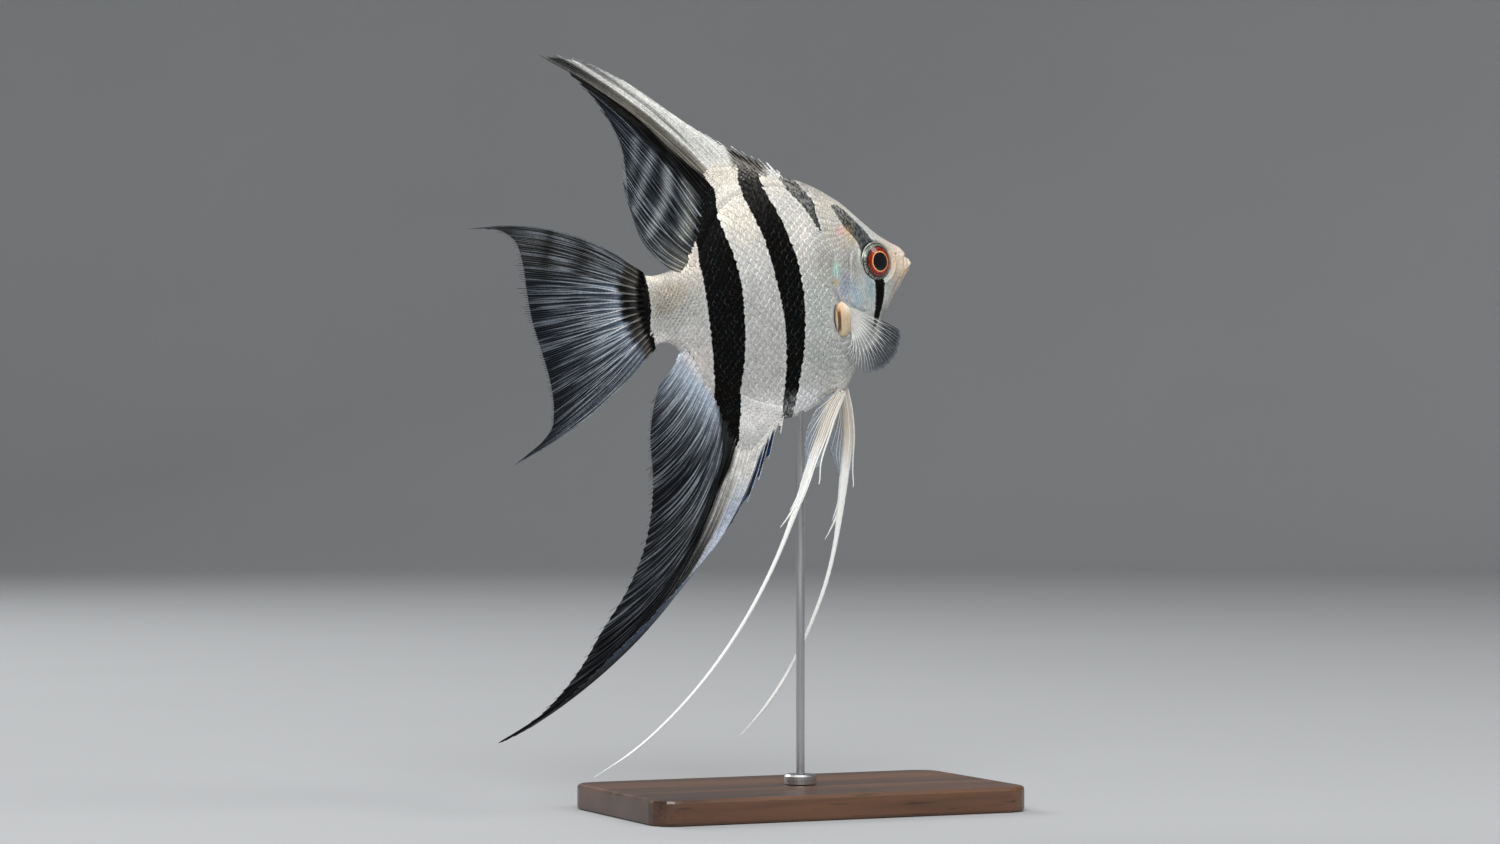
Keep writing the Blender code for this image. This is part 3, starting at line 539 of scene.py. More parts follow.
def flesh_material(name, scaled):
    """The silver flesh with its bars, and painted highlights: the scales' rear edges show as broken bright
    threads, also within the bars.
    """
    shader = Shader(name, Coat_Weight=0 if scaled else 0.06, Coat_Roughness=0.25, Specular_IOR_Level=0.04)
    tint = shader.attribute("tint", "Color")
    bar, strength = shader.attributes("bar", "strength")
    streaks = shader.noise(1, 5, (2.6, 1.5, 0.8), 0.7)
    level = streaks.line(0.28, 0.74, 0.68, 1.20) * shader.noise(0.22).line(0.3, 0.7, 0.94, 1.05)
    level *= shader.noise(2.4, 2, (1.5, 1.2, 0.8), 0.6).line(0.34, 0.68, 0.82, 1.20)
    if scaled:
        edge, lot, core, flecks = shader.attributes("edge", "lot", "core", "fleck")
        level *= lot.line(0, 1, 0.94, 1.05) * core.line(0, 1, 1.02, 0.93)
        broken = shader.noise(1.6, roughness=0.7).ramp(0.42, 0.60)
    speckle = shader.noise(1.7, 4, (1.5, 1, 0.7), 0.7).ramp(0.42, 0.60)
    tint = tint.cover(0.4, shader.node("RGBToBW", (tint,))).cover(speckle, tint)
    pale = tint.times(level)
    if scaled:
        # painted highlight along the scales' rear edges in the pale flesh
        lit = edge.ramp(0.80, 0.96) * broken * lot.ramp(0.2, 0.9, 0.1, 0.85)
        pale = pale.cover(lit, tint.times((1.45, 1.46, 1.46)))
    hue = shader.noise(0.8, 4, (1.5, 1, 0.8), 0.7)
    pale = pale.times((0.88, 1, 1.06), hue.ramp(0.50, 0.72, 0, 0.55))
    pale = pale.times((1.06, 0.98, 0.90), hue.ramp(0.48, 0.30, 0, 0.5))
    if scaled:
        flecks *= core * shader.noise(2.1).ramp(0.36, 0.62, 0.1, 0.85)
        pale = pale.cover(flecks, (0.085, 0.072, 0.055))
    # painted glints: scattered white specks, and brighter ones just beside the bars, stand in for the scales'
    # sparkle
    glints = shader.cells(2.3, (1.3, 1, 0.75)).ramp(0.24, 0.12) * shader.noise(0.7).ramp(0.48, 0.64)
    beside = bar.ramp(-1.1, -0.2) * bar.ramp(0.3, 0) * shader.noise(1.9).ramp(0.50, 0.64, 0, 0.5)
    pale = pale.cover((glints * 0.8).math("MAXIMUM", beside), (0.93, 0.94, 0.92))
    # the bars: ragged at their edges, patchy where they are weak
    depth = bar + (shader.noise(1.5, 4, roughness=0.65) * 0.9 + -0.45)
    width = 0.10 if scaled else 0.3
    mottle = shader.noise(1.5, 5, (1.2, 1, 0.5), 0.7).ramp(0.3, 0.62)
    dark = depth.ramp(-width, width) * (mottle * (1 - strength) + strength)
    hue = shader.noise(0.28, 2)
    ink = shader.mix(shader.noise(2.2, 3, (1, 1, 0.5)), (0.0004, 0.0004, 0.0005), (0.005, 0.005, 0.0048))
    ink = ink.cover(hue.ramp(0.52, 0.68, 0, 0.5), (0.0015, 0.0045, 0.005))
    ink = ink.cover(hue.ramp(0.46, 0.32, 0, 0.5), (0.005, 0.0035, 0.0018))
    ink = ink.cover(strength.ramp(0.95, 0.75), (0.020, 0.024, 0.027))
    if scaled:
        # painted highlight: the scales' rear edges as broken pale threads within the black bars
        edge_glints = edge.ramp(0.86, 0.97) * broken * lot.ramp(0.1, 1, 0.15, 0.8)
        ink = ink.cover(edge_glints, (0.085, 0.083, 0.076))
    # the head's pits and grooves darkened with painted shade
    colour = pale.cover(dark, ink).cover(shader.attribute("spot"), (0.02, 0.017, 0.014))
    shader.set("Base Color", colour)
    shader.set("Metallic", (1 - dark) * shader.attribute("sheen"))
    shader.set("Roughness", shader.noise(1.8, 4).line(0.3, 0.7, 0.36, 0.56))
    shader.bump(streaks * 0.6 + shader.cells(3) * 0.4, 0.08, 0.6)
    return shader.material


# ---------------------------------------------------------------- the skin

SKIN_SIDES = 156  # steps from belly to back on one side
back, belly, half_width, widest_level = (smooth(table) for table in (BACK, BELLY, HALF_WIDTH, WIDEST_LEVEL))
naked_from = smooth(NAKED_FROM)
EYE_AXIS = np.array([math.sin(EYE_TOE_IN), math.cos(EYE_TOE_IN), 0])
FLESH_NODES = ("head", "lower_jaw", "gill_cover_left", "gill_cover_right", "trunk", "tail_stalk")
# Folds of the head: the line, where along it the fold sets in and fades, how much of it is left at the end,
# the groove's depth and half width, and the lip's height, distance and half width. A lip that stands on
# both sides of its groove says so.
FOLDS = [(CHEEK_EDGE, (0, 0.2), (0.9, 1), 0.4, (-0.30, 0.30), (0.16, -0.9, 0.7), False),
         (LIP_FOLD, (-1, 0), (0.75, 1), 0, (-0.30, 0.28), (0.14, 0.75, 0.5), False),
         (MOUTH, (-1, 0), (0.8, 1), 0, (-0.24, 0.16), (0.14, 0.6, 0.35), True),
         (JAW_FOLD, (0, 0.1), (0.7, 1), 0, (-0.2, 0.3), (0.08, 0.8, 0.6), False),
         (SLIT, (0, 0.15), (0.85, 1), 0, (-0.7, 0.34), (0.22, 0.9, 0.4), True)]
CHEEK_MUSCLE, LIP_PAD = (61.5, -4.5, 4.5, 6), (75.2, 4.3, 1.5, 1.6)
# Lines of painted shade along grooves: the line, how dark and how wide, and where along it the dark sets in,
# is full and fades
PAINTED_SHADE_LINES = [(MOUTH, 0.22, 0.13, 0.1, 0.3, 0.75), (SLIT, 0.85, 0.26, 0, 0.2, 0.8),
              (CHEEK_EDGE, 0.5, 0.13, 0.45, 0.6, 0.85)]


def flesh_half(x, z):
    """The plain body's half width at a place in its side view, 0 outside it."""
    level = widest_level(x)
    height = np.where(z > level, (z - level) / (back(x) - level), (level - z) / (level - belly(x)))
    return half_width(x) * (1 - np.clip(height, 0, 1) ** FLANK_CURVE) ** FLANK_ROUNDING


def flank_curves(xs, steps):
    """The left flank's curve at each x, from belly to back at even steps: its points, its length, and how
    far up it the widest level lies."""
    height = -np.cos(np.linspace(0, math.pi, 361))
    top, low, level, wide = (curve(xs)[:, None] for curve in (back, belly, widest_level, half_width))
    z = level + height * np.where(height > 0, top - level, level - low)
    y = wide * (1 - np.abs(height) ** FLANK_CURVE) ** FLANK_ROUNDING
    arc = run_along(np.stack([y, z], -1))
    points = np.zeros((len(xs), steps + 1, 3))
    points[:, :, 0] = xs[:, None]
    for i in range(len(xs)):
        even = np.linspace(0, 1, steps + 1) * arc[i, -1]
        points[i, :, 1], points[i, :, 2] = np.interp(even, arc[i], y[i]), np.interp(even, arc[i], z[i])
    return points, arc[:, -1], np.array([np.interp(0, height, row) for row in arc])


def eye_distance(points):
    """How far each point lies from the axis of the left eye."""
    away = points - np.array(EYE_CENTRE)
    return np.linalg.norm(away - (away @ EYE_AXIS)[..., None] * EYE_AXIS, axis=-1)


def relief(points):
    """How far the skin stands above or below the body's plain shape, for points of the left flank."""
    x, z = points[..., 0], points[..., 2]
    rise = -SKIN_DEPTH * step_up(naked_from(z) - x, -1.2, 1.2)
    inside, share = from_line(x, z, GILL_EDGE)
    inside = -inside
    cover = step_up(inside, -0.22, 0.12) * np.exp(-np.maximum(inside - 1.5, 0) / 5)
    rise += between(share, 0.02, 0.3, 0.86, 1) * (0.55 * cover * (x > 50) - 0.45 * hump(inside + 0.42, 0.34))
    for line, start, fade, left, (depth, width), (lip, lip_at, lip_width), both_sides in FOLDS:
        off, share = from_line(x, z, line)
        strength = step_up(share, *start) * (1 - (1 - left) * step_up(share, *fade))
        beside = np.abs(off) if both_sides else off
        rise += strength * (depth * hump(off, width) + lip * hump(beside - lip_at, lip_width))
    rise += 0.30 * hump(off_oval(x, z, CHEEK_MUSCLE)) + 0.22 * hump(off_oval(x, z, LIP_PAD))
    r = eye_distance(points)
    near = np.abs(z - EYE_CENTRE[2]) < 12
    rise += near * (0.26 * hump(r - 6.25, 0.42) - 0.30 * hump(r - 5.62, 0.24))
    rise -= 2.4 * (1 - step_up(r, 4.7, 5.5))
    distance = off_oval(x, z, (*NOSTRIL, 1, 1))
    rise += -0.42 * hump(distance, 0.34) + 0.12 * hump(distance - 0.62, 0.25)
    for pore in PORES:
        rise -= 0.14 * hump(off_oval(x, z, (*pore, 1, 1)), 0.22)
    return rise


def pit_and_groove_shade(x, z):
    """Painted shade in the pits and grooves: the nostril, the pores, the mouth's cleft, the slit behind the
    pectoral fin and the cheek's edge.
    """
    dark = 0.5 * hump(off_oval(x, z, (*NOSTRIL, 1, 1)), 0.3)
    for pore in PORES:
        dark = np.maximum(dark, 0.35 * hump(off_oval(x, z, (*pore, 1, 1)), 0.16))
    for line, strength, width, start, full, fade in PAINTED_SHADE_LINES:
        off, share = from_line(x, z, line)
        dark = np.maximum(dark, strength * hump(off, width) * between(share, start, full, fade, 1))
    return dark


def sheen_of(x, z):
    """How silvery the flesh is: little on the snout, lips, nape and pectoral lobe."""
    snout = step_up(x - naked_from(z), -1, 2.5)
    lobe = 1 - step_up(off_oval(x, z, (52.2, -11.5, 2.6, 5)), 0.8, 1.1)
    return 0.34 * (1 - 0.8 * np.maximum(snout, lobe))


def fleck_of(x, z):
    """How much the scales' middles are flecked with brown: most on the tail stalk."""
    return np.clip(hump(off_oval(x, z, (5.5, 0.5, 8, 9))) + 0.25 * hump(off_oval(x, z, (8, -9, 9, 9))), 0, 1)


class Flank:
    """The skin's surface on the left side, read by x and by the arc above the widest level."""

    def __init__(self):
        # its rings stand closest together on the head
        self.xs = np.concatenate([np.arange(-4, -2.5, 0.15), np.arange(-2.5, 49, 0.485),
                                  np.arange(49, 77, 0.155), np.linspace(77, 78.7, 20)])
        plain, self.length, self.middle = flank_curves(self.xs, SKIN_SIDES)
        self.points = plain + grid_normals(plain) * relief(plain)[..., None]
        self.points[:, [0, -1], 1] = 0
        self.normals = grid_normals(self.points)

    def at(self, x, arc):
        """Points and normals; a place past the back or belly is held on its edge."""
        row = np.interp(x, self.xs, np.arange(len(self.xs)))
        i = np.clip(row.astype(int), 0, len(self.xs) - 2)
        s = row - i
        middle, length = (one[i] * (1 - s) + one[i + 1] * s for one in (self.middle, self.length))
        column = np.clip((arc + middle) / length, 0, 1) * SKIN_SIDES
        j = np.clip(column.astype(int), 0, SKIN_SIDES - 1)
        t = column - j
        found = [lerp(lerp(grid[i, j], grid[i, j + 1], t), lerp(grid[i + 1, j], grid[i + 1, j + 1], t), s)
                 for grid in (self.points, self.normals)]
        return found[0], unit(found[1])

    def reach(self, x):
        """The arc from the widest level down to the belly and up to the back."""
        middle = np.interp(x, self.xs, self.middle)
        return -middle, np.interp(x, self.xs, self.length) - middle


def make_skin(flank):
    whole = np.concatenate([flank.points * (1, -1, 1), flank.points[:, -2:0:-1]], axis=1)
    rings, sides = whole.shape[:2]
    points, quads, tris = closed_rings(whole)
    x, z = points[:, 0], points[:, 2]
    depth, strength = markings(x, z)
    u, v = np.meshgrid(np.linspace(0.01, 0.99, rings), np.arange(sides) / sides, indexing="ij")
    uv = np.concatenate([np.stack([u, v], -1).reshape(-1, 2), [[0, 0.5], [1, 0.5]]])
    pile = Pile()
    pile.add(points, quads, tris, uv=uv, tint=flesh_tint(x, z), bar=depth, strength=strength,
             spot=pit_and_groove_shade(x, z), sheen=sheen_of(x, z))
    pile.build("skin", flesh_material("skin", scaled=False), FLESH_NODES)


# ---------------------------------------------------------------- scales

# x, and the height from one scale to the next up a column
SCALE_PITCH = [
    (-4, 1.3), (4, 1.5), (14, 2), (24, 2.45), (44, 2.45), (51, 2.1), (57, 1.35), (62, 1.05), (68, 0.9)]
COLUMN_STEP = 0.41  # from one column to the next, as a share of that height
SCALE_LENGTH, SCALE_WIDTH = 1.08, 1.16  # shares of the same height
SCALE_GRID = 7  # points along a scale, and across it
SCALE_THICKNESS = 0.035
SCALE_LOW, SCALE_RISE = -0.05, 0.125  # a scale's top at its root over the skin, and how far its edge rises
PATCH = 0.003  # one scale's size on the UV map


def scale_roots(flank, rng):
    """The places of the scales on one side: x, arc above the widest level, and the local pitch."""
    pitch = smooth(SCALE_PITCH)
    roots = []
    x, odd = -3.2, 0
    while x < 68:
        p = float(pitch(x))
        low, high = flank.reach(x)
        arc = (np.arange(math.floor(low / p) - 1, math.ceil(high / p) + 1) + 0.5 * odd) * p
        arc = arc[(arc > low + 0.25 * p) & (arc < high - 0.1 * p)]
        shake = rng.normal(0, 0.02 * p, (2, len(arc)))
        roots.append(np.stack([x + shake[0], arc + shake[1], np.full(len(arc), p)], axis=1))
        x += COLUMN_STEP * p
        odd = 1 - odd
    return np.concatenate(roots)


def has_scale(points, pitch):
    """Whether a scale with this root and pitch belongs there: none on the naked face, round the eye,
    across the gill cover's edge, on the pectoral lobe or over the slit."""
    x, z = points[:, 0], points[:, 2]
    tip_x = x - SCALE_LENGTH * pitch
    root_off, tip_off = (from_line(at, z, GILL_EDGE)[0] for at in (x, tip_x))
    across_edge = (root_off < 0.25) & (tip_off > -0.35) & (z < 6)
    px, pz, reach_x, reach_z = PECTORAL_PATCH
    on_lobe = off_oval(x, z, (px, pz, reach_x + 0.4, reach_z + 0.3)) <= 1
    over_lobe = (off_oval(tip_x, z, PECTORAL_PATCH) < 1) & (x < 58)
    off, share = from_line(x, z, SLIT)
    on_slit = (np.abs(off) < 0.9) & (share > 0.03) & (share < 0.97)
    by_eye = eye_distance(points) <= EYE_RADIUS + 0.9
    return (x < naked_from(z)) & ~(by_eye | across_edge | on_lobe | over_lobe | on_slit)


def scale_template():
    """One scale's top grid: how far along it and across it each point lies, and the share of its rows."""
    share = np.linspace(0, 1, SCALE_GRID)[:, None] + np.zeros(SCALE_GRID)
    across = np.linspace(-1, 1, SCALE_GRID) + 0 * share
    width = across * (0.62 + 0.38 * np.sin(math.pi * np.clip(0.18 + 0.62 * share, 0, 1)))
    return share * (1 - 0.42 * across**2), width, share


def make_scales(flank, sign, low_x, high_x, name, material):
    rng = np.random.default_rng(SEED + (sign > 0))
    roots = scale_roots(flank, rng)
    roots = roots[(roots[:, 0] >= low_x) & (roots[:, 0] < high_x)]
    root_points, _ = flank.at(roots[:, 0], roots[:, 1])
    keep = has_scale(root_points, roots[:, 2])
    roots, root_points = roots[keep], root_points[keep]
    reach, width, _ = scale_template()
    x0, arc0, pitch = (column[:, None, None] for column in roots.T)
    size, turn = (rng.normal(mean, spread, pitch.shape) for mean, spread in ((1, 0.035), (0, 0.05)))
    forward = reach * SCALE_LENGTH * pitch * size
    sideways = width * SCALE_WIDTH / 2 * pitch * size
    surface, normals = flank.at(x0 - forward + sideways * turn, arc0 + sideways + forward * turn)
    low_arc, high_arc = flank.reach(roots[:, 0])
    at_u = 0.02 + 0.94 * (roots[:, 0] + 5) / 75
    at_v = 0.02 + 0.94 * (roots[:, 1] - low_arc.min()) / (high_arc.max() - low_arc.min())
    build_scales(surface, normals, root_points, roots[:, 2], (at_u, at_v), rng, sign, name, material)


def build_scales(surface, normals, root_points, root_pitch, root_uv, rng, sign, name, material):
    """Closed scales over the surface points under each one's grid, marked as the skin is."""
    _, width, share = scale_template()
    count = len(root_points)
    pitch = root_pitch[:, None, None]
    height = SCALE_LOW + SCALE_RISE * share * np.minimum(1, pitch / 2.2) * rng.normal(1, 0.08, (count, 1, 1))
    height = height + 0.03 * (1 - width**2) * np.minimum(1, pitch / 2.5)
    top = surface + normals * height[..., None]
    low = top - normals * SCALE_THICKNESS
    face, border = grid_faces(SCALE_GRID, SCALE_GRID)
    face = face[:, [0, 3, 2, 1]]
    sides, under = len(border), SCALE_GRID**2
    one = under + sides + 1  # a scale's points: its top, its rim below, and the middle below
    middle = low[:, SCALE_GRID // 2, SCALE_GRID // 2][:, None]
    points = np.concatenate([top.reshape(count, -1, 3), low.reshape(count, -1, 3)[:, border], middle], axis=1)
    k = np.arange(sides)
    after = (k + 1) % sides
    walls = np.stack([border, border[after], under + after, under + k], -1)
    fan = np.stack([under + k, under + after, np.full(sides, one - 1)], -1)
    offsets = (np.arange(count) * one)[:, None, None]
    quads = np.concatenate([face, walls])[None] + offsets
    rims = np.tile(np.arange(len(face) + len(walls)) >= len(face), count)

    def on_all(grid, last):
        """A grid's values, given to every scale's points."""
        grid = grid.reshape(under, -1)
        return np.tile(np.concatenate([grid, grid[border], [last]]), (count, 1))

    core = hump(share - 0.62, 0.26) * hump(width, 0.5)
    root_x, root_z = root_points[:, 0], root_points[:, 2]
    depth, strength = markings(root_x - 0.4 * root_pitch, root_z)
    here, _ = markings(points[..., 0], points[..., 2])
    each = {"tint": flesh_tint(root_x - 0.5 * root_pitch, root_z), "strength": strength,
            "lot": rng.random(count), "fleck": fleck_of(root_x, root_z), "sheen": sheen_of(root_x, root_z)}
    spread = on_all(np.stack([share, (width + 1) / 2], -1), (0.5, 0.5))
    uv = np.repeat(np.stack(root_uv, -1), one, axis=0) + PATCH * spread
    pile = Pile()
    pile.add((points * (1, sign, 1)).reshape(-1, 3), quads, fan[None] + offsets, rims, uv=uv,
             bar=(0.25 * depth[:, None] + 0.75 * here).ravel(), edge=on_all(share, (0.5,))[:, 0],
             core=on_all(core, (0,))[:, 0], spot=np.zeros(count * one),
             **{key: np.repeat(value, one, axis=0) for key, value in each.items()})
    pile.build(name, material)


# ---------------------------------------------------------------- median fins

DORSAL_OUTLINE = [
    (43.6, 31.2), (40.8, 33.2), (35.3, 36.8), (29.8, 40.6), (24.4, 44.6), (19.1, 49), (13.9, 53.6),
    (8.8, 58.3), (3.4, 62.8), (-3.8, 67.6), (-10.8, 70.9), (-18.2, 72.4), (-12, 67), (-7.6, 60.2),
    (-4, 52.8), (-1.9, 45.2), (-2, 38), (-2.4, 31.3), (-1.8, 25.7), (-0.4, 19.4), (2.2, 13.8),
    (5.6, 11.2)]
# a ray's place along the base, and the outline's point it runs to
DORSAL_ENDS = [
    (0, 0), (0.2, 3.2), (0.37, 6.8), (0.45, 9.3), (0.52, 11), (0.60, 11.9), (0.755, 13.3), (0.89, 16.5),
    (1, 18.2)]
DORSAL_BOW = [(0, 0), (0.2, -0.02), (0.52, -0.045), (0.755, -0.035), (0.89, 0.05), (1, 0.13)]
ANAL_OUTLINE = [
    (32.4, -36.8), (30.5, -39.4), (26.6, -45), (22.3, -50.4), (18, -55), (11.8, -60.9), (3.5, -67.8),
    (-5.9, -74.4), (-20, -83.8), (-33.8, -91.9), (-47.4, -99.8), (-56.6, -103.8), (-66.6, -106.3),
    (-54.8, -102), (-46.4, -96.6), (-40, -91.2), (-33.2, -83.8), (-22.6, -73), (-15.8, -63.1),
    (-11.3, -52), (-9.3, -43), (-8.2, -34), (-5.8, -26.5), (-2.8, -20.5), (0.8, -15), (3.8, -12.2)]
ANAL_ENDS = [
    (0, 0.2), (0.012, 0.5), (0.047, 2), (0.081, 3), (0.116, 3.9), (0.15, 5), (0.185, 5.9), (0.3, 8.6),
    (0.38, 10.6), (0.45, 12), (0.5, 13.5), (0.56, 16), (0.61, 17.5), (0.667, 18.95), (0.8, 20.4), (1, 23)]
ANAL_BOW = [
    (0, 0), (0.12, 0.03), (0.2, 0.085), (0.3, 0.11), (0.45, 0.118), (0.56, 0.14), (0.61, 0.145),
    (0.667, 0.115), (0.8, 0.085), (1, 0.05)]
CAUDAL_OUTLINE = [
    (-47.2, 30.1), (-42.2, 29.2), (-38.4, 27), (-36.4, 24.3), (-35.7, 20.5), (-35.8, 11.5), (-35.8, 3.2),
    (-34.8, -5.1), (-33.9, -13.8), (-34.4, -22), (-35.9, -26.6), (-38.8, -29.3), (-43.6, -31.9),
    (-49.3, -34.5)]
CAUDAL_BOW = [(0, -0.104), (0.25, -0.03), (0.5, 0), (0.75, 0.025), (1, 0.062)]
ROOT_IN_BODY = 2  # how far the fins' roots reach into the flesh
AWAY_FROM = 1.1  # how far along a ray from its root the distance away from the body is counted
RIDGE = [(-1, 0), (-0.6, 0.8), (0, 1), (0.6, 0.8), (1, 0)]  # a ray's section: place and height
# Along the base: how far the small scales reach out over the fin, in mm
DORSAL_SHEATH = [
    (0, -1.5), (0.06, 0.3), (0.12, 2.2), (0.25, 4.2), (0.4, 5.5), (0.52, 6), (0.6, 4), (0.7, 1.2),
    (0.8, -1.2), (0.9, -2.6), (1, -4)]
ANAL_SHEATH = [
    (0, -1), (0.06, 0.8), (0.12, 3.5), (0.2, 7.5), (0.4, 9), (0.5, 7.5), (0.62, 4), (0.7, 0.8),
    (0.82, -0.8), (0.9, -2.4), (1, -4)]
NUDGE = 0.004  # a small step along a fin's base, to measure how wide the fin is there


def fin_surface(base, outline, bow, sway, ends=None):
    """A fin's middle surface: the point at u along its base and s out along the ray there.

    The rays run in bows from the base's (x, z) to the outline, and sway to one side at their tips."""
    curve, bow, sway = along(outline), smooth(bow), smooth(sway)
    run = run_along(outline)
    shares = smooth([(u, np.interp(end, range(len(run)), run / run[-1])) for u, end in ends or ()] or
                    [(0, 0), (1, 1)])

    def at(u, s):
        start, tip, s = base(u), curve(shares(u)), np.asarray(s)[..., None]
        chord = tip - start
        middle = (start + tip) / 2 + 2 * np.stack([-chord[..., 1], chord[..., 0]], -1) * bow(u)[..., None]
        flat = (1 - s) ** 2 * start + 2 * s * (1 - s) * middle + s**2 * tip
        return np.stack([flat[..., 0], sway(u) * s[..., 0] ** 2, flat[..., 1]], axis=-1)

    return at


def body_base(first_x, last_x, edge, into):
    """The roots of a fin's rays inside the body's edge."""

    def at(u):
        x = first_x + (last_x - first_x) * u
        return np.stack([x, edge(x) + into], -1)

    return at


dorsal_surface = fin_surface(body_base(44.5, 8, back, -ROOT_IN_BODY), DORSAL_OUTLINE, DORSAL_BOW,
                             [(0, 0), (0.52, 4), (0.7, 1.8), (1, 0.5)], DORSAL_ENDS)
anal_surface = fin_surface(body_base(33, 6, belly, ROOT_IN_BODY), ANAL_OUTLINE, ANAL_BOW,
                           [(0, 0), (0.45, -5), (0.7, -1.5), (1, -0.5)], ANAL_ENDS)
caudal_surface = fin_surface(lambda u: np.stack([0 * u - 2, (10.9 - 21.5 * u) * 0.97], -1), CAUDAL_OUTLINE,
                             CAUDAL_BOW, [(0, 2.5), (0.5, 1), (1, -2)])


def fin_width(surface, u, other):
    """How many mm a fin's surface covers to each unit of u."""
    return np.linalg.norm(surface(u + NUDGE, other) - surface(u - NUDGE, other), axis=-1) / (2 * NUDGE)


def median_thick(root, web=0.075):
    """Half a fin's thickness between its rays, by the distance away from the body."""
    return lambda away: web + (root - web) * np.exp(-(np.maximum(away + AWAY_FROM, 0) / 3.6) ** 1.4)


def even_rays(first, last, count, times):
    """Rays at even steps: u, half of the room that each has along u, and how many times it splits."""
    step = (last - first) / (count - 1)
    return [(first + step * k, step * 0.5, times) for k in range(count)]


def branch_lines(rays, s, splits):
    """Where the rays' branches run: the u of each at every s, and whether it is an unbranched spine."""
    spiny, lines = [], []
    for ray, (centre, room, times) in enumerate(rays):
        for branch in range(2**times):
            line = centre + 0 * s
            for level in range(times):
                sign = 1 if branch >> (times - 1 - level) & 1 else -1
                start = splits[level] + 0.03 * math.sin(ray * 2.4 + level)
                line += sign * room / 2 ** (level + 1) * step_up(s, start, start + 0.3) ** 0.8
            spiny.append(times == 0)
            lines.append(line)
    return np.array(lines), np.array(spiny)


def hashed(u, seed):
    """An even random field that changes from column to column, and slowly along each."""
    coarse = np.random.default_rng(seed).random((len(u), 9))
    at = np.linspace(0, 8, u.shape[1])
    i = np.clip(at.astype(int), 0, 7)
    return coarse[:, i] * (1 - (at - i)) + coarse[:, i + 1] * (at - i)


def fin_grid(surface, rays, splits, steps, radii, notch, fray, seed, tip_out):
    """The columns of a fin: u and how far out for each point, and how high and how much it is ray, and a
    random number for each column. Radii are a spine's, a soft ray's and a soft ray's tip's."""
    rng = np.random.default_rng(seed)
    s = np.linspace(0, 1, steps) ** 1.1
    lines, spiny = branch_lines(rays, s, splits)
    soft = radii[1] + (radii[2] - radii[1]) * s**0.6
    radius = np.where(spiny[:, None], radii[0] * (1 - 0.6 * s), soft)
    half = radius * 1.25 / np.maximum(fin_width(surface, lines, s), 1e-6)
    gaps = np.diff(lines, axis=0, prepend=lines[:1] - 0.02, append=lines[-1:] + 0.02)
    before, after = (np.minimum(half, np.abs(gap) * 0.46) for gap in (gaps[:-1], gaps[1:]))
    tips = surface(lines[:, -1], 1)
    length = np.linalg.norm(tips - surface(lines[:, 0], 0), axis=-1)
    ways = unit(tips - surface(lines[:, -1], 0.97))
    tooth = np.append(0, np.clip(np.sum((tips[1:] - tips[:-1]) * ways[1:], axis=1), 0, 5) * 0.7)
    columns = []  # u, height, how much it is ray, how far its tip stands out, random number
    for b, line in enumerate(lines):
        front = 1 - step_up(line[-1], 0.36, 0.46)
        out = rng.normal(0, fray) + (tip_out if spiny[b] else fray * 0.6 + front * abs(rng.normal(0, 1.1)))
        lot = rng.random()
        for offset, rise in RIDGE:
            reach = before[b] if offset < 0 else after[b]
            merged = 1 - reach / half[b]
            ahead = tooth[b] if spiny[b] and offset == -1 else 0
            top = out if rise else -notch * 0.5 - ahead
            columns.append((line + offset * reach, radius[b] * np.maximum(rise, merged * 0.85),
                            np.maximum(rise, merged * 0.8), top / length[b], lot))
        if b + 1 < len(lines):
            start, end = line + after[b], lines[b + 1] - before[b + 1]
            toothed = spiny[b] and spiny[b + 1]
            for share in (0.25, 0.5, 0.75) if toothed else (0.5,):
                deep = notch * 0.6 + tooth[b + 1] * share if toothed else notch
                columns.append((start + (end - start) * share, 0 * s, 0 * s, -deep / length[b], lot))
    u, height, crest, tops, lots = (np.array(values) for values in zip(*columns))
    return u, s * (1 + tops[:, None]), height, crest, s + 0 * u, lots[:, None] + 0 * u


def make_fin(name, surface, paint, root, web, cover, **rays):
    """A fin, half as thick at its root and in its web as these say; cover is where small scales hide its
    rays' relief."""
    u, reach, height, crest, s, lot = fin_grid(surface, **rays)
    points = surface(np.clip(u, 0, 1), reach)
    away = run_along(points) - AWAY_FROM
    bare = smooth(cover)(u)
    half = median_thick(root, web)(away) + height * step_up(away, bare - 1, bare + 3)
    across = np.linspace(0, 1, 401)
    lane = np.interp(u, across, run_along(surface(across, 0.5)))
    coat, vein = paint(points, u, s, away, lot, fin_width(surface, u, s))
    tint = linear(lerp(coat.web, coat.ray, crest * (1 - coat.lots + coat.lots * lot)))
    pile = Pile()
    pile.add_sheet(points, half, tint=tint, crest=crest, away=away, lot=lot, lane=lane, vein=vein)
    pile.build(name, fin_material(name), (name,))


class Coat:
    """A fin's sRGB colours, of its web and of its rays, laid one over another."""

    def __init__(self, web, ray, lots=0.3):
        self.web, self.ray, self.lots = web, ray, lots

    def lay(self, share, web=None, ray=None):
        if web is not None:
            self.web = lerp(self.web, web, share)
        if ray is not None:
            self.ray = lerp(self.ray, ray, share)


def fin_bar(u, away, spread, bar):
    """How far inside the bar a fin's points lie, in mm, and whether they lie behind its middle."""
    start, end = np.moveaxis(smooth(bar)(away), -1, 0)
    return np.minimum(u - start, end - u) * spread, np.where(u > (start + end) / 2, 1, 0)


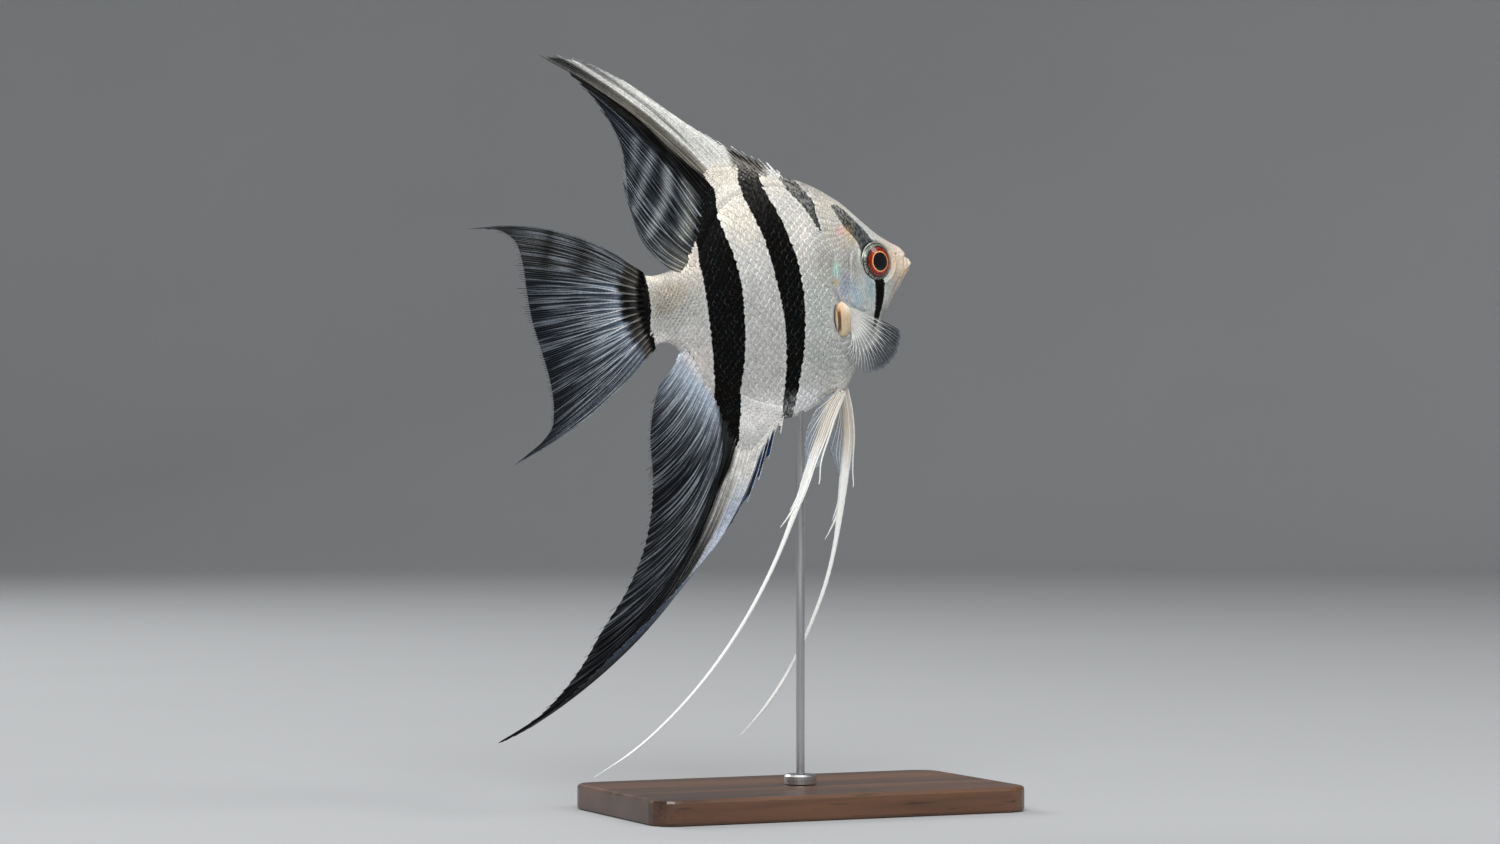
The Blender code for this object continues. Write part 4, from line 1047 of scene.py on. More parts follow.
# Light cross bands of the dorsal fin behind its bar: a line of (x, z), its half width, its brightness
DORSAL_BANDS = [([(15.2, 33.2), (15.2, 30.8), (14.9, 26.8), (13.6, 22.3), (11.4, 18.6)], 2.5, 0.9),
                ([(10.9, 38), (10.3, 36), (9.5, 32.3), (7.4, 28), (5.2, 25), (2, 20.5)], 1.75, 1),
                ([(7.2, 43), (5.3, 39.7), (2.8, 34.8), (0.1, 30.7), (-1.5, 27)], 1.5, 0.8),
                ([(2.6, 46.5), (0.9, 40.6), (-1.5, 36)], 1.3, 0.6)]


def dorsal_paint(points, u, s, away, lot, spread):
    x, z = points[..., 0], points[..., 2]
    # white in front, cream by the body, greyer toward the tip
    far = step_up(away, 34, 58)
    coat = Coat((0.86, 0.86, 0.84), (1, 1, 0.99))
    coat.lay(far, (0.50, 0.51, 0.51), (0.86, 0.88, 0.89))
    grey = step_up(u, 0.486, 0.494)
    coat.lay(grey, lerp((0.36, 0.35, 0.32), 0.10, far), lerp((0.66, 0.645, 0.60), (0.60, 0.60, 0.59), far))
    dark_line = hump(u - 0.459, 0.010) * step_up(away, 12, 22) * (0.3 + 0.5 * hashed(u, 9))
    coat.lay(dark_line, 0.25, (0.50, 0.50, 0.49))
    coat.lay(hump(u - 0.479, 0.007) * step_up(away, 4, 10), (0.84, 0.84, 0.82), (1, 1, 0.98))
    root = hump(away, 6 + 2 * hashed(u, 6)) * (u > 0.12)
    coat.lay(root, (0.94, 0.91, 0.85), (0.98, 0.95, 0.90))
    # the spiny front, mottled grey where the middle bar runs onto it, with pale tips to its spines
    spiny = between(x, 28.5, 31, 37.5, 40.5)
    speck = step_up(hashed(u, 8), 0.5, 0.9)
    coat.lay(spiny * 0.95, lerp((0.32, 0.31, 0.29), (0.62, 0.60, 0.56), speck))
    coat.lay(spiny * step_up(s, 0.55, 0.85), 0.06)
    spine = lerp((0.50, 0.49, 0.46), (0.80, 0.78, 0.74), speck)
    coat.lay(spiny * (1 - step_up(s, 0.80, 0.92)), ray=spine)
    # behind the bar: black web and fine rays, crossed by light bands
    level = 0 * x
    for line, half, bright in DORSAL_BANDS:
        level = np.maximum(level, bright * hump(from_line(x, z, line)[0], half))
    level = np.minimum(level * (0.6 + 0.7 * hashed(u, 3)) * (1 - 0.5 * step_up(s, 0.7, 1)), 1)
    low = step_up(u, 0.82, 0.93) * np.exp(-away / 13)
    level = np.maximum(level, low * (0.6 + 0.4 * hashed(u, 4)))
    single = step_up(lot, 0.55, 0.95)
    cream = np.exp(-away / 14)[..., None] * np.array((0, -0.05, -0.13))
    slate_ray = lerp(lerp((0.15, 0.17, 0.20), (0.62, 0.67, 0.72), single), (0.92, 0.95, 0.98) + cream, level)
    slate_ray = lerp(slate_ray, (0.14, 0.16, 0.19), step_up(s, 0.8, 1) * 0.5 * (1 - single))
    depth, behind = fin_bar(u, away, spread, DORSAL_BAR)
    coat.lay(behind, lerp((0.026, 0.032, 0.044), (0.38, 0.42, 0.455) + cream, level), slate_ray)
    front = (1 - spiny) * (1 - grey) * step_up(away, 5, 14)
    vein = behind * (0.16 + 0.4 * level) - 0.75 * front - 0.6 * (1 - behind) * grey * (1 - far)
    dark = step_up(depth + (hashed(u, 5) - 0.5) * 1.4, -0.8, 0.9) * (1 - 0.6 * step_up(away, 42, 66))
    mottle = step_up(hashed(u, 7), 0.45, 0.9)
    coat.lay(dark, (0.018, 0.018, 0.02), lerp((0.035, 0.035, 0.04), (0.30, 0.29, 0.27), mottle))
    return coat, vein * (1 - 0.85 * dark)


def anal_paint(points, u, s, away, lot, spread):
    # bright in front, narrowing to a bluish leading band that greys toward the tip
    far = step_up(away, 38, 70)
    coat = Coat((0.87, 0.86, 0.84), (0.99, 0.98, 0.965))
    coat.lay(far, (0.22, 0.24, 0.27), (0.56, 0.60, 0.65))
    lead = (1 - step_up(u, 0.30, 0.34)) * step_up(away, 14, 30)
    coat.lay(lead, lerp((0.62, 0.66, 0.72), (0.22, 0.26, 0.32), far),
             lerp((0.86, 0.89, 0.93), (0.50, 0.54, 0.60), far))
    grey = step_up(u, 0.315, 0.345) * step_up(away, 12, 24)
    coat.lay(grey, lerp((0.62, 0.615, 0.60), 0.15, step_up(away, 20, 46)))
    light = 1 - 0.6 * step_up(lot, 0.7, 0.9)
    coat.lay(grey * light, ray=lerp((0.92, 0.915, 0.90), (0.32, 0.325, 0.33), step_up(away, 28, 58)))
    patch = (1 - step_up(u, 0.15, 0.19)) * step_up(s, 0.30, 0.55) * step_up(away, 2.5, 4.5)
    coat.lay(patch, lerp(0.10, (0.09, 0.19, 0.33), step_up(hashed(u, 17), 0.3, 0.6)))
    # behind the bar: a bluish glow by the body, then fine pale rays over a black web
    glow = np.exp(-((np.maximum(away - 3, 0) / 8.5) ** 1.3)) * step_up(u, 0.55, 0.64)
    glow = np.maximum(glow, 0.5 * np.exp(-np.maximum(u - 0.60, 0) / 0.06) * np.exp(-away / 32))
    single = step_up(lot, 0.50, 0.95)
    slate_web = lerp((0.026, 0.032, 0.043), (0.66, 0.72, 0.79), glow * 0.9)
    slate_ray = lerp(lerp((0.18, 0.205, 0.235), (0.60, 0.645, 0.69), single), (0.95, 0.98, 1), glow)
    slate_ray = lerp(slate_ray, (0.10, 0.112, 0.13), step_up(s, 0.4, 1) * (0.85 - 0.45 * single))
    brown = step_up(away, 14, 24) * (1 - step_up(u, 0.61, 0.66))
    slate_ray = lerp(slate_ray, lerp((0.46, 0.44, 0.38), 0.16, step_up(away, 36, 66)), brown)
    slate_web = lerp(slate_web, (0.88, 0.85, 0.84), 0.95 * hump(away, 1.8))
    depth, behind = fin_bar(u, away, spread, ANAL_BAR)
    coat.lay(behind, slate_web, slate_ray)
    vein = behind * (0.5 * (1 - 0.6 * step_up(s, 0.4, 0.9)) + 0.5 * glow)
    vein = vein - 0.75 * (1 - behind) * step_up(away, 5, 12) * (1 - 0.5 * lead)
    dark = step_up(depth + (hashed(u, 15) - 0.5) * 2, -0.8, 0.9) * (1 - 0.3 * far)
    greyed = hump(away - 9.5, 6) * (0.4 + 0.6 * hashed(u, 16))
    coat.lay(dark, lerp((0.018, 0.019, 0.021), (0.13, 0.13, 0.125), greyed),
             lerp((0.05, 0.05, 0.055), (0.27, 0.27, 0.26), greyed))
    return coat, vein * (1 - 0.85 * dark)


# The dark root of the tail fin: the place along the root, and where its grey zone and its black band end
CAUDAL_ZONE = [
    (0, 5.2, 0.8), (0.16, 6.6, 1.1), (0.24, 7.4, 1.6), (0.37, 7.1, 2.2), (0.5, 6.8, 2), (0.65, 5.9, 1.7),
    (0.83, 4.6, 0.9), (1, 3.4, 0.4)]


def caudal_paint(points, u, s, away, lot, spread):
    middle = hump(u - 0.52, 0.30)
    single = step_up(lot, 0.55, 0.95)
    out = step_up(s, 0.45, 0.95)
    coat = Coat((0.08, 0.098, 0.125), lerp((0.31, 0.345, 0.385), (0.66, 0.71, 0.76), single), 0.35)
    coat.lay(out, (0.030, 0.038, 0.052))
    coat.lay(out * 0.9, ray=(0.14, 0.163, 0.195))
    # bright lengths of ray that start sharply and fade outward, strongest in the middle
    start, limit = np.moveaxis(smooth(CAUDAL_ZONE)(u), -1, 0)
    start = start - 0.4 + (hashed(u, 23) - 0.5) * 2.2
    bright = step_up(away, start - 0.3, start + 0.9) * np.exp(-np.maximum(away - start - 2, 0) / 7.5)
    bright = np.minimum(1.25 * bright * (0.45 + 0.55 * middle) * (0.55 + 0.45 * hashed(u, 24)), 1)
    coat.lay(bright * 0.9, (0.40, 0.45, 0.51))
    coat.lay(bright, ray=1)
    # the upper lobe is browner, with dark blotches across it and light beads between
    upper = 1 - step_up(u, 0.18, 0.34)
    coat.lay(upper * 0.7, (0.15, 0.15, 0.145))
    beads = step_up(hashed(u, 25), 0.4, 0.9)
    coat.lay(upper * 0.75, ray=lerp((0.40, 0.40, 0.395), (0.72, 0.72, 0.71), beads))
    blotch = np.maximum(hump(away - 18.5, 2.6) * 0.8, hump(away - 28.5, 1.6)) * upper
    coat.lay(blotch, (0.07, 0.07, 0.065))
    coat.lay(blotch * 0.85, ray=(0.20, 0.195, 0.185))
    edge = np.maximum(1 - step_up(u, 0.01, 0.03), step_up(u, 0.965, 0.99)) * step_up(away, 7, 15)
    coat.lay(edge, (0.40, 0.41, 0.42), (0.68, 0.70, 0.72))
    coat.lay(step_up(u, 0.80, 0.95) * (0.35 + 0.65 * single) * 0.7, ray=(0.70, 0.73, 0.77))
    # the root: a black band, then a grey-brown zone with black gaps between the rays at its outer end
    zone = 1 - step_up(away, start - 0.9, start + 0.5)
    gaps = hump(u - 0.40, 0.24) * step_up(away, start - 4.4, start - 1.5)
    coat.lay(zone, lerp((0.21, 0.205, 0.195), 0.03, gaps))
    pale = lerp((0.38, 0.37, 0.35), (0.68, 0.665, 0.63), hashed(u, 26))
    coat.lay(zone * (1 - 0.35 * gaps), ray=pale)
    limit = limit + (hashed(u, 22) - 0.5) * 1.4
    coat.lay(1 - step_up(away, limit - 0.4, limit + 0.6), 0.012, 0.03)
    return coat, (1 - np.maximum(zone, blotch * 0.7)) * (0.6 - 0.42 * out)


VEINS = 2.2  # to each mm across a fin, halfway out along its rays


def fin_material(name):
    """Ray and web take their painted coat. Finer veins run with the rays, pale where the vein value is
    positive and dark where it is negative."""
    shader = Shader(name, Specular_IOR_Level=0.05)
    crest, away, lot, lane, vein = shader.attributes("crest", "away", "lot", "lane", "vein")
    joint = ((away + lot) * 1.15).math("FRACT") + -0.5
    joint = joint.math("ABSOLUTE").ramp(0.30, 0.46) * crest
    level = shader.noise(1.6, 4, roughness=0.7).line(0.3, 0.72, 0.62, 1.32)
    level *= shader.noise(0.3).line(0.3, 0.7, 0.88, 1.1) * joint.line(0, 1, 1.05, 0.62)
    run = shader.node("CombineXYZ", (lane * VEINS, away * 0.05))
    vein *= shader.clouds(run, 1, 1.5, 0.6).ramp(0.50, 0.64, 0, 0.85)
    colour = shader.attribute("tint", "Color").cover(vein, srgb(0.74, 0.78, 0.82))
    colour = colour.times((0.20, 0.20, 0.20), vein * -1).times(level)
    specks = shader.cells(3.4).ramp(0.16, 0.08) * shader.noise(0.8, 2).ramp(0.50, 0.62, 0, 0.5)
    shader.set("Base Color", colour.times((2.6, 2.6, 2.6), specks))
    shader.set("Roughness", crest.line(0, 1, 0.46, 0.36))
    shader.bump(shader.noise(2.5) * 0.5 + joint * -0.5, 0.06, 0.6)
    return shader.material


def make_median_fins():
    make_fin("dorsal_fin", dorsal_surface, dorsal_paint, root=1.75, web=0.075, cover=DORSAL_SHEATH,
             rays=even_rays(0.012, 0.315, 12, 0) + even_rays(0.345, 0.985, 25, 2), splits=(0.22, 0.52),
             steps=64, radii=(0.24, 0.20, 0.055), notch=1, fray=1.2, seed=31, tip_out=0.9)
    make_fin("anal_fin", anal_surface, anal_paint, root=1.75, web=0.075, cover=ANAL_SHEATH,
             rays=even_rays(0.012, 0.185, 6, 0) + even_rays(0.215, 0.985, 27, 2), splits=(0.2, 0.5),
             steps=72, radii=(0.24, 0.19, 0.05), notch=0.8, fray=0.6, seed=32, tip_out=1.2)
    make_fin("caudal_fin", caudal_surface, caudal_paint, root=0.85, web=0.08, cover=[(0, -9), (1, -9)],
             rays=even_rays(0.004, 0.996, 17, 3), splits=(0.16, 0.36, 0.6),
             steps=60, radii=(0.2, 0.30, 0.055), notch=0.55, fray=0.3, seed=33, tip_out=0)


# ---------------------------------------------------------------- the scaly roots of two fins

SHEATH_PITCH = [(-1, 1.75), (3, 1.5), (11, 1.1)]  # away from the body, and from one scale to the next


def make_sheath(surface_of, reach, sign, name, material):
    """Small scales over a fin's root, pointing out along its rays, so that the body runs into the fin."""
    rng = np.random.default_rng(SEED + 40 + (sign > 0))
    pitch_at, reach_at = smooth(SHEATH_PITCH), smooth(reach)

    def place(u, away):
        u = np.clip(u, 0, 1)
        length = np.linalg.norm(surface_of(u, 1) - surface_of(u, 0), axis=-1)
        return surface_of(u, (away + AWAY_FROM) / length) * (1, sign, 1)

    base = np.linspace(0, 1, 401)
    roots = []
    away, odd = -2.9, 0
    while away < 10:
        pitch = float(pitch_at(away))
        run = run_along(place(base, away))
        u = np.interp((np.arange(run[-1] / pitch) + 0.5 * odd) * pitch, run, base)
        u = u[away < reach_at(u) + rng.normal(0, 0.6, len(u))]
        roots.append(np.stack([u, np.full(len(u), away), np.full(len(u), pitch)], axis=1))
        away += 0.45 * pitch
        odd = 1 - odd
    roots = np.concatenate(roots)
    u0, away0, pitch = (column[:, None, None] for column in roots.T)
    grow, width, _ = scale_template()
    turn, size = (rng.normal(mean, spread, pitch.shape) for mean, spread in ((0, 0.06), (1, 0.035)))
    forward = grow * SCALE_LENGTH * pitch * size
    sideways = width * SCALE_WIDTH / 2 * pitch
    away = away0 + forward
    surface = place(u0 + (sideways + forward * turn) / fin_width(place, u0, away0), away)
    body = flesh_half(surface[..., 0], surface[..., 2])
    lift = np.where(away < -1.5, (away + 3.2) / 1.7, 1).clip(0, 1)
    over = (median_thick(1.75)(away) ** 5 + body**5) ** 0.2  # over the fin and the body, whichever is thicker
    surface[..., 1] += body - 0.1 + (over - body + 0.1) * lift
    normals = np.broadcast_to(np.array((0, 1, 0)), surface.shape)
    uv = (0.02 + 0.94 * roots[:, 0], 0.02 + 0.94 * (roots[:, 1] + 3) / 14)
    root_points = place(roots[:, 0], roots[:, 1])
    build_scales(surface, normals, root_points, roots[:, 2], uv, rng, sign, name, material)


# ---------------------------------------------------------------- paired fins

SIDES = (("right", -1), ("left", 1))
PECTORAL_BASE = [(54.7, 6.3, -8.1), (54.7, 6.6, -11.6), (54.4, 6.2, -15)]
PECTORAL_OUTLINE = [
    (64.2, 16.5, -16.6), (64, 16.3, -19.6), (62.6, 16, -22.7), (60.3, 15.5, -25), (56.8, 15, -26.6),
    (54, 14.6, -26.9), (51.2, 13.8, -25.6), (49.2, 12.8, -22.9), (48, 11.8, -20)]
PECTORAL_BEND = (0.6, 1.3, -0.3)
PECTORAL_RAYS = 13
LOBE_CENTRE, LOBE_REACH = (53.2, -11.4), (3.05, 4.9)
LOBE_PROUD = 0.95  # how far the lobe's rear edge stands out over the slit
LOBE_FLANK = 30  # the flank's rounding under the lobe: from its widest level to its edge
PELVIC_RIGHT = [
    (50.4, 1.5, -31.2), (45.4, 2.6, -36.8), (41.4, 3.4, -42.7), (37.4, 4.1, -48.4), (33.3, 4.9, -55.1),
    (29.4, 5.5, -61.1), (21.7, 6.2, -72.3), (13.1, 6.7, -82.9), (3.5, 7.3, -92.7), (-7, 8, -101.5),
    (-18.4, 8.8, -109.2), (-30.6, 9.4, -115.7), (-43.6, 10, -120.3)]
PELVIC_LEFT = [
    (53, 1.5, -31.2), (53.4, 2.6, -38.3), (53, 3.4, -44.8), (51.6, 4.1, -51), (49.9, 4.8, -57.6),
    (47.8, 5.5, -65.1), (44.6, 6, -74.6), (40.6, 6.7, -83.9), (35.6, 7.4, -92.6), (30, 7.9, -100.8),
    (23.7, 8.5, -108.5), (16.6, 9.3, -115.4), (8.6, 10, -121.3)]
# Along a pelvic fin, in mm from its root
PELVIC_WIDTH = [
    (0, 1.25), (8, 1.5), (16, 1.5), (22, 1.35), (30, 1.15), (36, 0.95), (42, 0.72), (55, 0.58), (80, 0.48),
    (105, 0.4), (140, 0.28)]
PELVIC_THICKNESS = [(0, 0.8), (30, 0.5), (60, 0.42), (140, 0.28)]
PELVIC_WEB = [(0.5, 1.3), (4, 3), (9, 4.6), (14, 5.4), (18, 4.6), (22, 2.6), (25.5, 0.9)]
PELVIC_SPINE = [(0.5, 1.3), (5, 1.7), (12, 2), (18, 2.2), (22, 2.6), (26.5, 3.6)]
PELVIC_FLARE = 0.34
# The strands that make up its thick part: how far off its middle, as a share of its width, and their ends
PELVIC_STRANDS = [(0.82, 34), (0.42, 40), (0, 44), (-0.42, 38), (-0.82, 32)]
PELVIC_BRANCHES = [(33, 43, 2.6), (28, 37.5, 1.5)]  # where each starts and ends, and how far off
# The rays of its web: where each ends, and how far out over the web it runs
PELVIC_WEB_RAYS = [(10.5, 0.92), (14.5, 0.80), (18.2, 0.66), (21.5, 0.5), (24.2, 0.36)]


def pectoral_shape(sign):
    base_line, outline = along(PECTORAL_BASE), along(PECTORAL_OUTLINE)

    def at(u, s):
        base, tip = base_line(u), outline(u)
        middle = (base + tip) / 2 + 2 * np.array(PECTORAL_BEND)
        t = s[..., None]
        points = (1 - t) ** 2 * base + 2 * t * (1 - t) * middle + t**2 * tip
        points[..., 1] += 0.22 * np.sin(u * 2 * math.pi * 3.3 + 0.7) * s**2
        return points * (1, sign, 1)

    return at


def pectoral_web_material():
    """Milky at the root, clear over the body, then a darker clear slate in front of and below it."""
    shader = Shader("pectoral web", Roughness=0.4, Specular_IOR_Level=0.15)
    away, lane = shader.attributes("away", "lane")
    outer = away.ramp(0.42, 0.62)
    colour = shader.mix(outer, srgb(0.88, 0.88, 0.86), srgb(0.10, 0.125, 0.16))
    shader.set("Base Color", colour.cover(away.ramp(0.92, 1, 0, 0.5), srgb(0.50, 0.54, 0.58)))
    clear = away.ramp(0.40, 0.08, 0.04, 0.75).math("MAXIMUM", outer * lane.ramp(0.72, 0.42, 0.10, 0.55))
    shader.set("Alpha", clear * shader.noise(1.2).line(0.3, 0.7, 0.75, 1.2))
    shader.bump(shader.noise(3), 0.04, 0.5)
    return shader.material


def pectoral_ray_material():
    shader = Shader("pectoral rays", Alpha=0.9, Roughness=0.4, Specular_IOR_Level=0.2)
    away = shader.attribute("away")
    colour = shader.mix(away.ramp(0, 0.35), srgb(0.90, 0.87, 0.80), srgb(0.95, 0.96, 0.96))
    colour = colour.cover(away.ramp(0.86, 1, 0, 0.7), srgb(0.66, 0.70, 0.74))
    return shader.finish(colour, shader.noise(1.6, 4), 0.8, 1.05, shader.noise(3), 0.04)


def pelvic_web_material():
    """A thin clear web, faintly tinted, with cloudy streaks."""
    shader = Shader("pelvic web", Alpha=0.5, Roughness=0.4, Specular_IOR_Level=0.2)
    streaks = shader.noise(1.6, 4, (2, 2, 0.5))
    return shader.finish(srgb(0.62, 0.66, 0.70), streaks, 0.55, 1.35, shader.noise(3), 0.04)


def pelvic_material():
    """Cream with paler streaks at the root, then pure white down the streamer."""
    shader = Shader("pelvic rays", Roughness=0.38, Coat_Weight=0.15, Coat_Roughness=0.2)
    away, lane = shader.attributes("away", "lane")
    streak = (lane + shader.noise(0.7) * 0.4).ramp(0.3, 0.8)
    root = shader.mix(streak, srgb(0.79, 0.755, 0.70), srgb(0.93, 0.92, 0.89))
    colour = root.cover((away + shader.noise(0.5) * 8).ramp(16, 30), srgb(0.975, 0.975, 0.965))
    streaks = shader.noise(1.4, 4, (2, 2, 0.6))
    return shader.finish(colour, streaks, 0.90, 1.05, shader.noise(2.6, 3, (2, 2, 0.5)))


def lobe_material():
    """Peach, with a painted highlight at its top front, paler in front, with an orange rear and painted shade
    in the slit along it.
    """
    shader = Shader("pectoral lobe", Roughness=0.42, Specular_IOR_Level=0.3, Coat_Weight=0.1,
                    Coat_Roughness=0.25)
    depth, high = shader.attributes("depth", "high")
    colour = shader.mix(shader.noise(0.8).ramp(0.35, 0.65), srgb(0.82, 0.755, 0.635), srgb(0.80, 0.70, 0.56))
    # painted highlight on the lobe's top front
    colour = colour.cover(high.ramp(0.55, 0.88) * depth.ramp(0.1, 0.35), srgb(0.98, 0.93, 0.84))
    colour = colour.cover((depth + high * -0.2).ramp(0.45, 0.85), srgb(0.78, 0.77, 0.73))
    # painted shade in the slit along the lobe's rear
    slit_shade = depth.ramp(0.05, 0.09) * depth.ramp(0.26, 0.20)
    slit_shade *= high.ramp(0.12, 0.3) * high.ramp(0.88, 0.66, 0, 0.9)
    colour = colour.cover(slit_shade, srgb(0.27, 0.12, 0.06))
    orange = depth.ramp(0.5, 0.28) * high.ramp(0.5, 0.72, 0, 0.55) * (1 - slit_shade)
    colour = colour.cover(orange, srgb(0.93, 0.70, 0.46))
    return shader.finish(colour, shader.noise(1.5, 4, (2, 1, 0.8)), 0.88, 1.08, shader.noise(2.2))


def make_pectoral_fins():
    membrane, ray_finish = pectoral_web_material(), pectoral_ray_material()
    rays = [((k + 0.5) / PECTORAL_RAYS, 0.5 / PECTORAL_RAYS, 1) for k in range(PECTORAL_RAYS)]
    s = np.linspace(0, 1, 34)
    lines, _ = branch_lines(rays, s, (0.5,))
    u = np.linspace(0, 1, 105)
    scallop = 1 - 0.02 * np.abs(np.sin(u * PECTORAL_RAYS * math.pi)) + 0.008 * np.sin(u * 31)
    grid_u, grid_s = np.meshgrid(u, s, indexing="ij")
    radius = 0.14 - 0.095 * s**0.6
    for side, sign in SIDES:
        shape = pectoral_shape(sign)
        rng = np.random.default_rng(SEED + sign)
        pile = Pile()
        for line in lines:
            path = shape(np.clip(line, 0, 1), s * rng.uniform(0.93, 0.985))
            pile.add_tube(path, radius, radius * 0.8, (1, 0, 0.3), 5, s, rng.random(), away=s)
        pile.build(f"pectoral_rays_{side}", ray_finish)
        pile = Pile()
        pile.add_sheet(shape(grid_u, grid_s * scallop[:, None]), 0.04 + 0.2 * np.exp(-grid_s * 14),
                       away=grid_s, lane=grid_u)
        pile.build(f"pectoral_web_{side}", membrane, (f"pectoral_fin_{side}",))


def make_pectoral_lobes():
    """The fleshy base of each pectoral fin: its rear edge stands out over the slit behind it."""
    finish = lobe_material()
    latitude = np.linspace(0.02, math.pi - 0.02, 24)[:, None]
    turn = np.linspace(0, 2 * math.pi, 40, endpoint=False)[None, :]
    lift = -np.cos(latitude) + 0 * turn  # from the body side to the outer side
    fore, up = np.sin(latitude) * np.cos(turn), np.sin(latitude) * np.sin(turn)
    x = LOBE_CENTRE[0] + LOBE_REACH[0] * fore + 0.3 * up
    z = LOBE_CENTRE[1] + LOBE_REACH[1] * up * (1 - 0.18 * fore)
    flank_under = (1 - np.abs((z - widest_level(x)) / LOBE_FLANK) ** FLANK_CURVE) ** FLANK_ROUNDING
    y = half_width(x) * flank_under - 0.15 + LOBE_PROUD * (lift - 0.28 * fore)
    depth, high = (np.append((share + 1) / 2, (0.5, 0.5)) for share in (fore, up))
    for side, sign in SIDES:
        pile = Pile()
        pile.add(*closed_rings(np.stack([x, y * sign, z], -1)), depth=depth, high=high)
        pile.build(f"pectoral_lobe_{side}", finish)


def make_pelvic_fins():
    finish, web_finish = pelvic_material(), pelvic_web_material()
    tables = (PELVIC_WIDTH, PELVIC_THICKNESS, PELVIC_WEB, PELVIC_SPINE)
    width, depth, web, spine = (smooth(table) for table in tables)
    for (side, sign), points in zip(SIDES, (PELVIC_RIGHT, PELVIC_LEFT)):
        points = np.array(points) * (1, sign, 1)
        length = run_along(points)[-1]
        route = along(points)

        def beside(distance, off):
            """Points off the route: off is how far in front (positive) or behind, with the fin's flare."""
            ahead = unit(route((distance + 0.5) / length) - route((distance - 0.5) / length))
            backward = unit(np.cross((0, 1, 0), ahead))
            off = np.broadcast_to(off, distance.shape)[:, None]
            at = route(distance / length)
            return at - backward * off + np.array([0, sign, 0]) * np.abs(off) * PELVIC_FLARE, backward

        pile = Pile()

        def add_ray(distance, off, wide, deep, sides):
            path, backward = beside(distance, off)
            broad = backward if sides == 12 else (1, 0, 0)
            count = len(pile.shells)
            pile.add_tube(path, wide, deep, broad, sides, distance / length, count / 20, away=distance,
                          lane=np.full(len(distance), (count * 0.618) % 1))

        d = np.linspace(-4, length, 170)
        taper = np.clip((length - d) / 12, 0.25, 1) * (0.45 + 0.55 * step_up(d, -4, 2))
        add_ray(d, 0, width(d) * (1 + 0.04 * np.sin(d * 2.2)) * taper, depth(d) * taper, 12)
        for off, end in PELVIC_STRANDS:
            d = np.linspace(-1, end, 60)
            fade = np.clip((end - d) / 6, 0.1, 1)
            add_ray(d, off * width(d), 0.2 * width(d) * fade, depth(d) * (0.8 + 0.4 * fade), 7)
        d = np.linspace(-1, 27.5, 44)
        add_ray(d, spine(d), 0.5 - 0.36 * d / 28, 0.42 - 0.3 * d / 28, 8)
        for start, end, off in PELVIC_BRANCHES:
            d = np.linspace(start, end, 20)
            run = (d - start) / (end - start)
            radius = 0.5 - 0.42 * run
            add_ray(d, -off * run**1.4 - 0.3, radius, radius * 0.8, 7)
        for end, share in PELVIC_WEB_RAYS:
            d = np.linspace(0, end, 30)
            run = d / end
            reach = np.minimum(1.03 * share * (0.35 + 0.65 * run) * (1 + 0.35 * run**3), 1)
            radius = 0.24 - 0.17 * run
            add_ray(d, -(0.6 + (web(d) - 0.6) * reach), radius, radius * 0.8, 6)
        pile.build(f"pelvic_rays_{side}", finish, (f"pelvic_fin_{side}",))

        d = np.linspace(0, PELVIC_WEB[-1][0], 60)
        in_front = spine(d) * np.clip((25 - d) / 3, 0.3, 1)
        behind = web(d) * (1 + 0.05 * np.sin(d * 4.1) + 0.03 * np.sin(d * 9.3))
        across = np.linspace(1, -1, 21)
        columns = [beside(d, share * (in_front if share > 0 else behind))[0] for share in across]
        pile = Pile()
        pile.add_sheet(np.stack(columns, axis=1), np.full((60, 21), 0.06))
        pile.build(f"pelvic_web_{side}", web_finish)


# ---------------------------------------------------------------- eyes

EYE_PROFILE = [
    (0, 2.52), (1.2, 2.47), (2.45, 2.28), (3.3, 2), (4.05, 1.66), (4.7, 1.28), (5.2, 0.93), (5.5, 0.62),
    (5.66, 0.2), (5.5, -0.3), (4.8, -0.8), (3.2, -1.1), (0, -1.2)]
EYE_WIDEST = 0.2  # the profile's height where the eyeball is widest
EYE_BACK = 5.8  # the value that the back of the eyeball is painted by
EYE_RINGS, EYE_SEGMENTS = 72, 96


